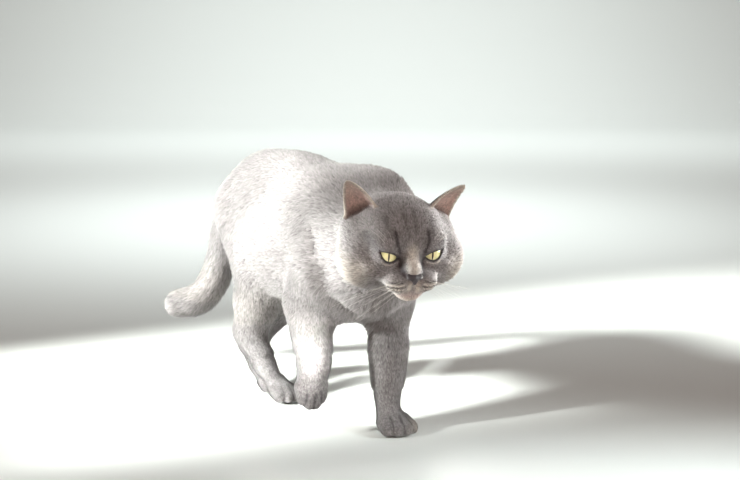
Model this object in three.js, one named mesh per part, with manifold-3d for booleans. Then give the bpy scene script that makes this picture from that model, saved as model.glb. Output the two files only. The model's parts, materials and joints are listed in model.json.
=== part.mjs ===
// A blue British Shorthair cat at a slow walk, life size, in millimetres.
//
// +Z is up and the nose points to -Y, so the cat's left is +X. The body is one smooth field of
// ellipsoids and tapered limbs, out to the tips of the plush coat. The field is turned into faceted
// solids, and thin cuts part these into the head, neck, trunk, legs and tail that a person would name.
import * as THREE from "three";
import { SimplifyModifier } from "three/addons/modifiers/SimplifyModifier.js";
import { mergeVertices } from "three/addons/utils/BufferGeometryUtils.js";
import Module from "manifold-3d";

const wasm = await Module();
wasm.setup();

const THINNING = 0.65; // the share of the surface's points that its flatter stretches give up
const GAP = 0.3; // the cut between two neighbouring solids
const ROOT_GAP = 1.4; // between the ears or the tail and what they grow from, whose facets differ
const LEFT = 1;
const RIGHT = -1;
const v3 = (x, y, z) => new THREE.Vector3(x, y, z);
const radians = THREE.MathUtils.degToRad;

// ---------------------------------------------------------------- driving dimensions
const WITHERS_HEIGHT = 283; // floor to the top of the coat over the shoulder blades
const RUMP_HEIGHT = 285;
const CHEST_CLEARANCE = 116; // floor to the coat under the breastbone
const SHOULDER_Y = -12; // middle of the shoulder blades
const HIP_Y = 210;
const HEAD_CENTRE = v3(-7, -140, 215);
const HEAD_TURN = 8.5; // degrees to the cat's right
const HEAD_DROP = 16; // degrees nose down
const EYE_SPACING = 43.5; // pupil to pupil
const EYE_RADIUS = 10.8;
const EAR_HEIGHT = 46.5;
const EAR_WIDTH = 40;

const COAT_COLOUR = 0x6f6c75;
const FACE_COLOUR = 0x67646d;
const PAW_COLOUR = 0x615e67;
const EAR_COLOUR = 0x75696d;
const NOSE_COLOUR = 0x3a3136;
const EYE_COLOUR = 0xb9ac52;

// ---------------------------------------------------------------- fields
// A field gives the distance from a point to a surface, below zero inside it.

// Joins two fields with a fillet about as deep as blend.
function smoothMin(a, b, blend) {
  const h = Math.max(blend - Math.abs(a - b), 0) / blend;
  return Math.min(a, b) - (h * h * blend) / 4;
}

function smoothUnion(fields, blend) {
  return (p) => fields.reduce((sum, field) => smoothMin(sum, field(p), blend), Infinity);
}

// An ellipsoid, which tilt turns about X by that many degrees, nose end down.
function ellipsoid(centre, radii, tilt = 0) {
  const c = Math.cos(radians(tilt));
  const s = Math.sin(radians(tilt));
  return (p) => {
    const x = p.x - centre.x;
    const dy = p.y - centre.y;
    const dz = p.z - centre.z;
    const y = dy * c + dz * s;
    const z = dz * c - dy * s;
    const scaled = Math.hypot(x / radii.x, y / radii.y, z / radii.z);
    const steep = Math.hypot(x / radii.x ** 2, y / radii.y ** 2, z / radii.z ** 2);
    return steep < 1e-9 ? -Math.min(radii.x, radii.y, radii.z) : (scaled * (scaled - 1)) / steep;
  };
}

// A limb that tapers from radius ra at a to rb at b.
function limb(a, b, ra, rb) {
  const along = b.clone().sub(a);
  const lengthSq = along.lengthSq();
  return (p) => {
    const dx = p.x - a.x;
    const dy = p.y - a.y;
    const dz = p.z - a.z;
    const t = THREE.MathUtils.clamp((dx * along.x + dy * along.y + dz * along.z) / lengthSq, 0, 1);
    const off = Math.hypot(dx - t * along.x, dy - t * along.y, dz - t * along.z);
    return off - (ra + (rb - ra) * t);
  };
}

// A chain of limbs through joints, each joint a point and a radius.
function chain(joints, blend) {
  const limbs = joints.slice(1).map((to, i) => limb(joints[i].at, to.at, joints[i].radius, to.radius));
  return smoothUnion(limbs, blend);
}

const joint = (x, y, z, radius) => ({ at: v3(x, y, z), radius });

// ---------------------------------------------------------------- trunk and neck
const TRUNK_BLEND = 30;
const chestDepth = WITHERS_HEIGHT - CHEST_CLEARANCE;

const trunk = smoothUnion(
  [
    ellipsoid(v3(0, SHOULDER_Y + 47, WITHERS_HEIGHT - 86), v3(65, 100, chestDepth / 2 - 3)), // ribs
    ellipsoid(v3(2, SHOULDER_Y - 20, CHEST_CLEARANCE + 63), v3(56, 52, 60), 20), // breast
    ellipsoid(v3(34, SHOULDER_Y + 12, WITHERS_HEIGHT - 53), v3(29, 72, 46), -10), // shoulder blades
    ellipsoid(v3(-29, SHOULDER_Y + 24, WITHERS_HEIGHT - 63), v3(29, 68, 46), -10),
    ellipsoid(v3(0, 112, CHEST_CLEARANCE + 70), v3(69, 90, 70)), // belly
    ellipsoid(v3(0, 118, RUMP_HEIGHT - 73), v3(48, 82, 74)), // arch of the back
    ellipsoid(v3(0, HIP_Y - 28, RUMP_HEIGHT - 73), v3(59, 78, 70)), // loins
    ellipsoid(v3(0, HIP_Y + 10, RUMP_HEIGHT - 76), v3(53, 52, 66)), // rump
  ],
  TRUNK_BLEND,
);

const neck = smoothUnion(
  [
    limb(v3(2, SHOULDER_Y - 18, 214), v3(HEAD_CENTRE.x, HEAD_CENTRE.y + 34, HEAD_CENTRE.z - 3), 52, 45),
    ellipsoid(v3(0, SHOULDER_Y - 62, 178), v3(44, 40, 44), 30), // throat
  ],
  20,
);

// ---------------------------------------------------------------- head
// Inside the head, x is the cat's left, y runs back from the nose and z is up.
const headMatrix = new THREE.Matrix4()
  .makeTranslation(HEAD_CENTRE)
  .multiply(new THREE.Matrix4().makeRotationZ(radians(-HEAD_TURN)))
  .multiply(new THREE.Matrix4().makeRotationX(radians(HEAD_DROP)));
const headInverse = headMatrix.clone().invert();
const eyeAt = (side) => v3((side * EYE_SPACING) / 2, -31, 4);
const NOSE_TIP = v3(0, -57, -13.5);

const mirrored = (make) => [make(LEFT), make(RIGHT)];

const skull = smoothUnion(
  [
    ellipsoid(v3(0, 8, 7), v3(47, 48, 38)), // cranium
    ellipsoid(v3(0, 2, -26), v3(38, 38, 20)), // jaw and throat
    ellipsoid(v3(0, -14, 19), v3(31, 23, 17), 20), // forehead
    ...mirrored((side) => ellipsoid(v3(side * 34, -6, -11), v3(29, 30, 29))), // cheeks
    ...mirrored((side) => ellipsoid(v3(side * 45, 14, 7), v3(11, 17, 17))), // temples
    ...mirrored((side) => ellipsoid(v3(side * 20, -30, 15), v3(15, 11, 8), 8)), // brows
  ],
  12,
);
const face = smoothUnion(
  [
    limb(v3(0, -26, 6), v3(0, -48, -7.5), 11, 8), // bridge of the nose
    ...mirrored((side) => ellipsoid(v3(side * 12, -42.5, -20), v3(14.5, 14, 11))), // whisker pads
    ellipsoid(v3(0, -38, -32), v3(13.5, 13, 9.5)), // chin
    ...mirrored((side) => ellipsoid(v3(side * 27, -28, -10), v3(15, 13, 12))), // under the eyes
  ],
  7,
);
const sockets = mirrored((side) => ellipsoid(eyeAt(side).add(v3(side * 1.5, -8, 0)), v3(11, 9, 8)));

function headField(p) {
  const q = p.clone().applyMatrix4(headInverse);
  const solid = smoothMin(skull(q), face(q), 9);
  return sockets.reduce((d, socket) => -smoothMin(-d, socket(q), 5), solid);
}

// ---------------------------------------------------------------- legs and tail
const PAW_SOLE = 1.5; // the field reaches this far under the floor, where the pads are cut flat

// Four toes in front of a paw's pad. The paw points along heading, in degrees to the cat's left
// of straight ahead, and tip turns it toes down about its own width. The toes stand further apart
// by spread at their ends.
function pawField(ankle, size, heading, tip = 0, spread = 1.4) {
  const place = new THREE.Matrix4()
    .makeTranslation(ankle)
    .multiply(new THREE.Matrix4().makeRotationZ(radians(heading)))
    .multiply(new THREE.Matrix4().makeRotationX(radians(tip)));
  const at = (x, y, z) => v3(x, y, z).multiplyScalar(size).applyMatrix4(place);
  const toes = [-1.5, -0.5, 0.5, 1.5].map((step) => {
    const reach = (Math.abs(step) > 1 ? -20 : -25) + (tip ? 3 : 0);
    return limb(at(step * 7, -6, 1), at(step * (7 + spread), reach, -3.6), 8.2 * size, 7.6 * size);
  });
  const pad = limb(at(0, 3, 2), at(0, -12, -1), 12.5 * size, 12.8 * size);
  return { toes: smoothUnion(toes, 2.5 * size), pad };
}

function leg(joints, paw) {
  const bones = chain(joints, 14);
  return (p) => smoothMin(smoothMin(bones(p), paw.pad(p), 10), paw.toes(p), 4);
}

const PAW_HEIGHT = 11.5; // middle of a standing paw above the floor
const legs = {
  front_left: leg(
    [
      joint(34, -10, 228, 27),
      joint(42, -32, 176, 33),
      joint(45, -9, 138, 27),
      joint(36.5, -26, 84, 20),
      joint(33, -32, 56, 16.5),
      joint(30.5, -36, 36, 12.5),
      joint(31, -38, 18, 12),
    ],
    pawField(v3(32, -40, PAW_HEIGHT), 1.06, 2),
  ),
  front_right: leg(
    [
      joint(-32, -6, 220, 27),
      joint(-37, -30, 176, 32),
      joint(-43, 3, 138, 25),
      joint(-45.5, -12, 106, 20),
      joint(-47.5, -24, 80, 18),
      joint(-50, -25, 63, 16),
    ],
    pawField(v3(-53, -25, 60), 1.02, -6, 62, -1.2),
  ),
  hind_right: leg(
    [
      joint(-28, HIP_Y + 6, 212, 41),
      joint(-31, HIP_Y - 50, 152, 35),
      joint(-35, HIP_Y - 38, 112, 26),
      joint(-40, HIP_Y - 24, 74, 18),
      joint(-31, HIP_Y - 47, 38, 14.5),
      joint(-23, HIP_Y - 66, 15, 13),
    ],
    pawField(v3(-21, HIP_Y - 70, PAW_HEIGHT), 0.96, 10),
  ),
  hind_left: leg(
    [
      joint(28, HIP_Y + 6, 212, 41),
      joint(34, HIP_Y - 28, 148, 36),
      joint(16, HIP_Y + 8, 104, 25),
      joint(-16, HIP_Y + 34, 50, 15.5),
      joint(-17, HIP_Y + 4, 28, 13),
      joint(-15, HIP_Y - 14, 14, 12),
    ],
    pawField(v3(-14, HIP_Y - 17, PAW_HEIGHT), 0.96, 3),
  ),
};

// The tail hangs from the rump, swings to the cat's right and curls up at its tip.
const tailCurve = new THREE.CatmullRomCurve3([
  v3(0, HIP_Y + 34, 236),
  v3(-8, HIP_Y + 78, 217),
  v3(-17, HIP_Y + 108, 182),
  v3(-20, HIP_Y + 120, 146),
  v3(-28, HIP_Y + 131, 110),
  v3(-43, HIP_Y + 143, 86),
  v3(-64, HIP_Y + 160, 79),
]);
const TAIL_STEPS = 14;
const tailRadius = (t) => THREE.MathUtils.lerp(20, 19, Math.min(1, t * 2));
const tailJoints = Array.from({ length: TAIL_STEPS + 1 }, (_, i) => ({
  at: tailCurve.getPoint(i / TAIL_STEPS),
  radius: tailRadius(i / TAIL_STEPS),
}));
const tail = chain(tailJoints, 6);

// ---------------------------------------------------------------- the whole field
const LEG_BLEND = 16;
const core = (p) => smoothMin(smoothMin(trunk(p), neck(p), 26), headField(p), 16);
const legFlesh = Object.fromEntries(
  Object.entries(legs).map(([name, field]) => [name, (p) => smoothMin(trunk(p), field(p), LEG_BLEND)]),
);
const body = (p) => Math.min(core(p), ...Object.values(legFlesh).map((field) => field(p)));

// ---------------------------------------------------------------- solids
function solidOf(geometry) {
  const bare = geometry.index ? geometry : mergeVertices(geometry);
  bare.deleteAttribute("normal");
  bare.deleteAttribute("uv");
  const merged = mergeVertices(bare, 1e-3);
  return new wasm.Manifold(
    new wasm.Mesh({
      numProp: 3,
      vertProperties: merged.attributes.position.array,
      triVerts: new Uint32Array(merged.index.array),
    }),
  );
}

function geometryOf(solid) {
  const mesh = solid.getMesh();
  const geometry = new THREE.BufferGeometry();
  geometry.setAttribute("position", new THREE.BufferAttribute(mesh.vertProperties, 3));
  geometry.setIndex(new THREE.BufferAttribute(mesh.triVerts, 1));
  geometry.computeVertexNormals();
  return geometry;
}

// The surface where the field is zero, inside the box from low to high, as a closed geometry.
// Each cell that the surface crosses gets one point, moved onto the surface, and each crossed
// grid edge gets the quad of its four cells.
function surfaceOf(field, low, high, cell) {
  const count = high.clone().sub(low).divideScalar(cell).ceil().addScalar(1);
  const [nx, ny, nz] = [count.x, count.y, count.z];
  const index = (i, j, k) => i + nx * (j + ny * k);
  const values = new Float32Array(nx * ny * nz);
  const p = v3(0, 0, 0);
  for (let k = 0; k < nz; k++)
    for (let j = 0; j < ny; j++)
      for (let i = 0; i < nx; i++) {
        const rim = i === 0 || j === 0 || k === 0 || i === nx - 1 || j === ny - 1 || k === nz - 1;
        p.set(low.x + i * cell, low.y + j * cell, low.z + k * cell);
        const value = field(p);
        values[index(i, j, k)] = rim ? Math.max(value, cell / 2) : value;
      }
  const positions = [];
  const pointOf = new Map();
  const corners = Array.from({ length: 8 }, (_, c) => [c & 1, (c >> 1) & 1, (c >> 2) & 1]);
  const edges = [];
  corners.forEach((a, m) =>
    corners.forEach((b, n) => {
      if (m < n && a.reduce((sum, x, axis) => sum + Math.abs(x - b[axis]), 0) === 1) edges.push([m, n]);
    }),
  );
  for (let k = 0; k < nz - 1; k++)
    for (let j = 0; j < ny - 1; j++)
      for (let i = 0; i < nx - 1; i++) {
        const at = corners.map(([a, b, c]) => values[index(i + a, j + b, k + c)]);
        const sum = v3(0, 0, 0);
        let crossings = 0;
        for (const [m, n] of edges) {
          if (at[m] < 0 === at[n] < 0) continue;
          const t = at[m] / (at[m] - at[n]);
          sum.add(v3(...corners[m]).lerp(v3(...corners[n]), t));
          crossings++;
        }
        if (!crossings) continue;
        sum.divideScalar(crossings).add(v3(i, j, k)).multiplyScalar(cell).add(low);
        const point = ontoSurface(field, sum, cell / 2);
        pointOf.set(index(i, j, k), positions.length / 3);
        positions.push(point.x, point.y, point.z);
      }
  const faces = [];
  const at = (n) => v3(positions[3 * n], positions[3 * n + 1], positions[3 * n + 2]);
  const quad = (a, b, c, d, turned) => {
    const ring = turned ? [d, c, b, a] : [a, b, c, d];
    const short = at(ring[0]).distanceToSquared(at(ring[2])) < at(ring[1]).distanceToSquared(at(ring[3]));
    const [q, r, s, t] = short ? ring : [ring[1], ring[2], ring[3], ring[0]];
    faces.push(q, r, s, q, s, t);
  };
  for (let k = 0; k < nz - 1; k++)
    for (let j = 0; j < ny - 1; j++)
      for (let i = 0; i < nx - 1; i++) {
        const here = values[index(i, j, k)] < 0;
        const around = (a, b) => pointOf.get(index(i - a[0] - b[0], j - a[1] - b[1], k - a[2] - b[2]));
        for (const [axis, u, w] of [
          [[1, 0, 0], [0, 1, 0], [0, 0, 1]],
          [[0, 1, 0], [0, 0, 1], [1, 0, 0]],
          [[0, 0, 1], [1, 0, 0], [0, 1, 0]],
        ]) {
          const next = values[index(i + axis[0], j + axis[1], k + axis[2])] < 0;
          if (here === next) continue;
          const none = [0, 0, 0];
          quad(around(u, w), around(w, none), around(none, none), around(u, none), next);
        }
      }
  const geometry = new THREE.BufferGeometry();
  geometry.setAttribute("position", new THREE.BufferAttribute(new Float32Array(positions), 3));
  geometry.setIndex(faces);
  return geometry;
}

// The solid where the field is below zero, with fewer points where its surface is nearly flat.
async function fieldSolid(field, low, high, cell) {
  const geometry = surfaceOf(field, low, high, cell);
  const spare = Math.floor(geometry.attributes.position.count * THINNING);
  return solidOf(await new SimplifyModifier().modify(geometry, spare));
}

// Moves a point down the field's slope to the surface, by at most reach.
function ontoSurface(field, point, reach) {
  const start = point.clone();
  const step = 0.05;
  for (let turn = 0; turn < 3; turn++) {
    const value = field(point);
    const slope = v3(
      field(point.clone().add(v3(step, 0, 0))) - value,
      field(point.clone().add(v3(0, step, 0))) - value,
      field(point.clone().add(v3(0, 0, step))) - value,
    ).divideScalar(step);
    const moved = point.clone().addScaledVector(slope, -value / Math.max(slope.lengthSq(), 0.2));
    if (moved.distanceTo(start) > reach) return point;
    point = moved;
  }
  return point;
}

// ---------------------------------------------------------------- regions that the cuts follow
const FAR = 900;

// Everything on the side of a plane that normal points away from, grown by grow.
function below(point, normal, grow = 0) {
  const n = normal.clone().normalize();
  const box = new THREE.BoxGeometry(FAR, FAR, FAR);
  const turn = new THREE.Quaternion().setFromUnitVectors(v3(0, 0, 1), n);
  const centre = point.clone().addScaledVector(n, grow - FAR / 2);
  box.applyMatrix4(new THREE.Matrix4().compose(centre, turn, v3(1, 1, 1)));
  return solidOf(box);
}

// An elliptic drum across the body, which rounds the top of a shoulder or a thigh.
function drum(y, z, radiusY, radiusZ, tilt, grow = 0) {
  const shape = new THREE.CylinderGeometry(1, 1, FAR, 16);
  shape.rotateZ(Math.PI / 2);
  shape.scale(1, radiusY + grow, radiusZ + grow);
  shape.rotateX(radians(tilt));
  shape.translate(0, y, z);
  return solidOf(shape);
}

// ---------------------------------------------------------------- nodes
const cat = new THREE.Group();

// The main body of a solid, without the slivers that a cut can leave beside it.
function mainBody(solid) {
  const bodies = solid.decompose();
  return bodies.reduce((best, one) => (one.volume() > best.volume() ? one : best));
}

function addNode(name, solid, colour, roughness = 0.95) {
  const material = new THREE.MeshStandardMaterial({ color: colour, roughness, metalness: 0 });
  const mesh = new THREE.Mesh(geometryOf(mainBody(solid)), material);
  mesh.name = name;
  cat.add(mesh);
}

// Parts a long solid at planes. Each plane's normal points away from the first piece.
function partAt(solid, planes) {
  const pieces = [];
  let rest = solid;
  for (const [point, normal] of planes) {
    pieces.push(rest.intersect(below(point, normal)));
    rest = rest.subtract(below(point, normal, GAP));
  }
  return [...pieces, rest];
}

// The region of a leg: outside a slanting plane through the armpit or groin, which leans further
// under the trunk below it, and either inside the drum that rounds its top or down the leg from its
// first cut.
function legRegion({ side, pit, top, cuts }, grow = 0) {
  const [point, down] = cuts[0];
  const beside = below(v3(side * pit.x, 0, pit.z), v3(-side, 0, 0.25), grow);
  const under = below(v3(side * pit.x, 0, pit.z), v3(-side, 0, 1.4), grow);
  const outside = beside.add(under.intersect(below(v3(0, 0, pit.z), v3(0, 0, 1))));
  const round = drum(top.y, top.z, top.radiusY, top.radiusZ, top.tilt, grow);
  const front = below(v3(0, top.y - top.ahead, 0), v3(0, 1, 0), -grow);
  const back = below(v3(0, top.y + top.behind, 0), v3(0, 1, 0), grow);
  const low = below(point, down.clone().negate(), grow).intersect(back).subtract(front);
  return outside.intersect(round.add(low));
}

const ARMPIT = { x: 8, z: 118 };
const GROIN = { x: 8, z: 120 };
const SHOULDER_TOP = { y: -12, z: 172, radiusY: 48, radiusZ: 66, tilt: 14, ahead: 54, behind: 54 };
const THIGH_TOP = { y: HIP_Y - 18, z: 160, radiusY: 60, radiusZ: 70, tilt: 16, ahead: 86, behind: 92 };
const DOWN = v3(0, 0, -1);
const legParts = {
  front_left: {
    side: LEFT,
    pit: ARMPIT,
    top: SHOULDER_TOP,
    box: [v3(-12, -110, 12), v3(92, 70, 270)],
    names: ["upper_arm", "forearm"],
    cuts: [[v3(40, -10, 138), v3(0, -0.25, -1)], [v3(31, -38, 33), DOWN]],
  },
  front_right: {
    side: RIGHT,
    pit: ARMPIT,
    top: SHOULDER_TOP,
    box: [v3(-92, -110, 40), v3(12, 70, 270)],
    names: ["upper_arm", "forearm"],
    cuts: [[v3(-44, 2, 136), v3(0, -0.25, -1)], [v3(-50, -25, 71), v3(0, 0.15, -1)]],
  },
  hind_right: {
    side: RIGHT,
    pit: GROIN,
    top: THIGH_TOP,
    box: [v3(-104, 100, 0), v3(20, 290, 260)],
    names: ["thigh", "shank", "hock"],
    cuts: [
      [v3(-36, HIP_Y - 50, 124), v3(0, 0.3, -1)],
      [v3(-40, HIP_Y - 20, 78), v3(0.1, 0.1, -1)],
      [v3(-26, HIP_Y - 58, 24), v3(0.2, -0.8, -0.6)],
    ],
  },
  hind_left: {
    side: LEFT,
    pit: GROIN,
    top: THIGH_TOP,
    box: [v3(-60, 100, 0), v3(104, 310, 260)],
    names: ["thigh", "shank", "hock"],
    cuts: [
      [v3(30, HIP_Y - 20, 124), v3(0, 0.3, -1)],
      [v3(-4, HIP_Y + 30, 66), v3(-0.4, 0.3, -1)],
      [v3(-16, HIP_Y - 6, 22), v3(0, -0.85, -0.5)],
    ],
  },
};
const floor = (solid) => solid.subtract(below(v3(0, 0, 0), v3(0, 0, 1)));

const BODY_CELL = 12.6;
const LEG_CELL = 9.8;
const PAW_CELL = 6.2;
const TAIL_CELL = 9;
const HEAD_CELL = 6.8;
const bodySolid = await fieldSolid(body, v3(-99, -187, 96), v3(99, 330, 330), BODY_CELL);

// A leg is cut from a solid of that leg and the trunk, and its paw from a finer one. Each cut's
// normal points down the leg.
async function addLeg(name, part) {
  const [ankle, ankleNormal] = part.cuts.at(-1);
  const whole = await fieldSolid(legFlesh[name], ...part.box, LEG_CELL);
  const lengths = partAt(whole.intersect(legRegion(part)), part.cuts).slice(0, -1);
  const pawLow = v3(ankle.x - 36, ankle.y - 58, -9);
  const pawHigh = v3(ankle.x + 36, ankle.y + 30, ankle.z + 20);
  const pawWhole = await fieldSolid(legFlesh[name], pawLow, pawHigh, PAW_CELL);
  const paw = floor(pawWhole.subtract(below(ankle, ankleNormal, GAP)));
  lengths.forEach((piece, i) => addNode(`${part.names[i]}_${name}`, piece, COAT_COLOUR));
  addNode(`paw_${name}`, paw, PAW_COLOUR);
}

for (const [name, part] of Object.entries(legParts)) await addLeg(name, part);
const withoutLegs = (solid) =>
  Object.values(legParts).reduce((rest, part) => rest.subtract(legRegion(part, GAP)), solid);

// The neck starts where the shoulders end, and the head starts behind the cheeks and ears.
const NECK_CUT = [v3(0, SHOULDER_Y - 48, 205), v3(0, 1, -0.3)];
const HEAD_CUT = [
  v3(0, 32, 0).applyMatrix4(headMatrix),
  v3(0, 1, -0.25).transformDirection(headMatrix),
];

const torso = withoutLegs(bodySolid).subtract(below(NECK_CUT[0], NECK_CUT[1], GAP));
const trunkPieces = partAt(torso, [
  [v3(0, 62, 0), v3(0, 1, 0)],
  [v3(0, 140, 0), v3(0, 1, 0)],
]);
["chest", "belly", "rump"].forEach((name, i) => addNode(name, trunkPieces[i], COAT_COLOUR));

const neckSolid = withoutLegs(bodySolid)
  .intersect(below(NECK_CUT[0], NECK_CUT[1]))
  .subtract(below(HEAD_CUT[0], HEAD_CUT[1], GAP));
addNode("neck", neckSolid, COAT_COLOUR);

// ---------------------------------------------------------------- tail
const tailBox = new THREE.Box3().setFromPoints(tailJoints.map((j) => j.at)).expandByScalar(32);
const rumpGrown = await fieldSolid(
  (p) => body(p) - ROOT_GAP,
  v3(-99, HIP_Y - 40, 96),
  v3(99, HIP_Y + 70, 330),
  BODY_CELL,
);
const tailWhole = await fieldSolid(tail, tailBox.min, tailBox.max, TAIL_CELL);
const tailSolid = tailWhole.subtract(rumpGrown);
const tailCut = (t) => [tailCurve.getPoint(t), tailCurve.getTangent(t)];
partAt(tailSolid, [tailCut(0.42), tailCut(0.72)]).forEach((piece, i) =>
  addNode(["tail_root", "tail_middle", "tail_tip"][i], piece, COAT_COLOUR),
);

// ---------------------------------------------------------------- head, nose, eyes and ears
const inHead = (geometry) => solidOf(geometry.applyMatrix4(headMatrix));
const ball = (centre, radii, grow = 0) => {
  const shape = new THREE.SphereGeometry(1, 12, 8);
  shape.scale(radii.x + grow, radii.y + grow, radii.z + grow);
  return shape.translate(centre.x, centre.y, centre.z);
};
const headBox = new THREE.Box3(
  HEAD_CENTRE.clone().addScalar(-82),
  HEAD_CENTRE.clone().addScalar(82),
);
const headSolid = await fieldSolid(body, headBox.min, headBox.max, HEAD_CELL);
const headWhole = headSolid.intersect(below(HEAD_CUT[0], HEAD_CUT[1]));

const NOSE_RADII = v3(9, 6.5, 6.2);
const noseRegion = (grow) => inHead(ball(NOSE_TIP, NOSE_RADII, grow));
const eyeRegion = (side, grow) =>
  inHead(ball(eyeAt(side), v3(EYE_RADIUS, EYE_RADIUS, EYE_RADIUS), grow));

// The muzzle is what a ball around the whisker pads takes, and the chin its part under the mouth.
const MUZZLE = { centre: v3(0, -47, -22), radii: v3(26, 21, 17) };
const MOUTH = [v3(0, -40, -28.5), v3(0, 0.12, 1)];
const muzzleRegion = (grow) => inHead(ball(MUZZLE.centre, MUZZLE.radii, grow));

let headRest = headWhole;
for (const side of [LEFT, RIGHT]) {
  headRest = headRest.subtract(eyeRegion(side, GAP));
  addNode(side === LEFT ? "eye_left" : "eye_right", eyeRegion(side, 0), EYE_COLOUR, 0.1);
}
addNode("nose", headRest.intersect(noseRegion(0)), NOSE_COLOUR, 0.6);
headRest = headRest.subtract(noseRegion(GAP));
const muzzle = headRest.intersect(muzzleRegion(0));
const mouthPoint = MOUTH[0].clone().applyMatrix4(headMatrix);
const mouthNormal = MOUTH[1].clone().transformDirection(headMatrix);
const [chin, pads] = partAt(muzzle, [[mouthPoint, mouthNormal]]);
addNode("chin", chin, FACE_COLOUR);
addNode("muzzle", pads, FACE_COLOUR);
addNode("head", headRest.subtract(muzzleRegion(GAP)), FACE_COLOUR);

// An ear is a cupped leaf with a round tip. s runs across it from -1 to 1, t up it from 0 to 1.
const EAR_THICKNESS = 3;
const EAR_TIP = 0.02; // keeps the last ring open
const EAR_ACROSS = 6;
const EAR_UP = 6;
function earPoint(s, t, depth) {
  const half = (EAR_WIDTH / 2) * Math.sqrt(Math.max(1 - t, EAR_TIP));
  const arc = radians(THREE.MathUtils.lerp(80, 36, t));
  const radius = half / Math.sin(arc);
  const bend = 4 * Math.sin(Math.PI * t) - 3 * t;
  const r = radius - depth;
  return v3(r * Math.sin(s * arc), r * Math.cos(s * arc) - radius * Math.cos(arc) + bend, EAR_HEIGHT * t);
}

function earGeometry() {
  const rings = [];
  for (let j = 0; j <= EAR_UP; j++) {
    const t = Math.sin((Math.PI / 2) * (j / EAR_UP));
    const thick = EAR_THICKNESS * (1 - 0.35 * t);
    const ring = [];
    for (let i = 0; i <= EAR_ACROSS; i++) ring.push(earPoint((2 * i) / EAR_ACROSS - 1, t, 0));
    for (let i = EAR_ACROSS; i >= 0; i--) {
      const s = (2 * i) / EAR_ACROSS - 1;
      ring.push(earPoint(s * 0.97, t, thick * (1 - 0.45 * s ** 4)));
    }
    rings.push(ring);
  }
  const around = rings[0].length;
  const positions = rings.flat().flatMap((p) => [p.x, p.y, p.z]);
  const faces = [];
  for (let j = 0; j < EAR_UP; j++)
    for (let i = 0; i < around; i++) {
      const a = j * around + i;
      const b = j * around + ((i + 1) % around);
      faces.push(a, b + around, b, a, a + around, b + around);
    }
  for (const [start, turned] of [[0, false], [EAR_UP * around, true]])
    for (let i = 0; i < EAR_ACROSS; i++) {
      const [a, b, c, d] = [start + i, start + i + 1, start + around - 2 - i, start + around - 1 - i];
      faces.push(...(turned ? [a, c, b, a, d, c] : [a, b, c, a, c, d]));
    }
  const geometry = new THREE.BufferGeometry();
  geometry.setAttribute("position", new THREE.Float32BufferAttribute(positions, 3));
  geometry.setIndex(faces);
  return geometry;
}

// Each ear stands on the crown, leans out and turns its opening forwards and a little outwards.
const EARS = {
  left: { base: v3(37, 5, 19), lean: 32, turn: 26, nod: -2 },
  right: { base: v3(-36, 5, 23), lean: -24, turn: -22, nod: -4 },
};
const headGrown = await fieldSolid((p) => body(p) - ROOT_GAP, headBox.min, headBox.max, HEAD_CELL);
for (const [name, ear] of Object.entries(EARS)) {
  const turned = new THREE.Euler(radians(ear.nod), radians(ear.lean), radians(ear.turn), "YXZ");
  const place = headMatrix.clone().multiply(
    new THREE.Matrix4().compose(ear.base, new THREE.Quaternion().setFromEuler(turned), v3(1, 1, 1)),
  );
  addNode(`ear_${name}`, solidOf(earGeometry().applyMatrix4(place)).subtract(headGrown), EAR_COLOUR);
}

// ---------------------------------------------------------------- frame
// The origin is on the floor, under the middle of the whole cat.
const bounds = new THREE.Box3().setFromObject(cat);
const middle = bounds.getCenter(v3(0, 0, 0));
cat.position.set(-middle.x, -middle.y, -bounds.min.z);

export default cat;
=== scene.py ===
"""A blue British Shorthair cat at a slow walk: its skin, coat, eyes, nose and whiskers.

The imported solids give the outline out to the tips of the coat. One skin lies inside them by the
coat's depth, joined to a finer sculpt of the head, ears and toes, and tufts of hair cover it.
Shapes are worked out in millimetres and become metres when their mesh is made.
"""

import json
import logging
import math
from dataclasses import dataclass
from enum import Enum
from typing import Any

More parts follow.
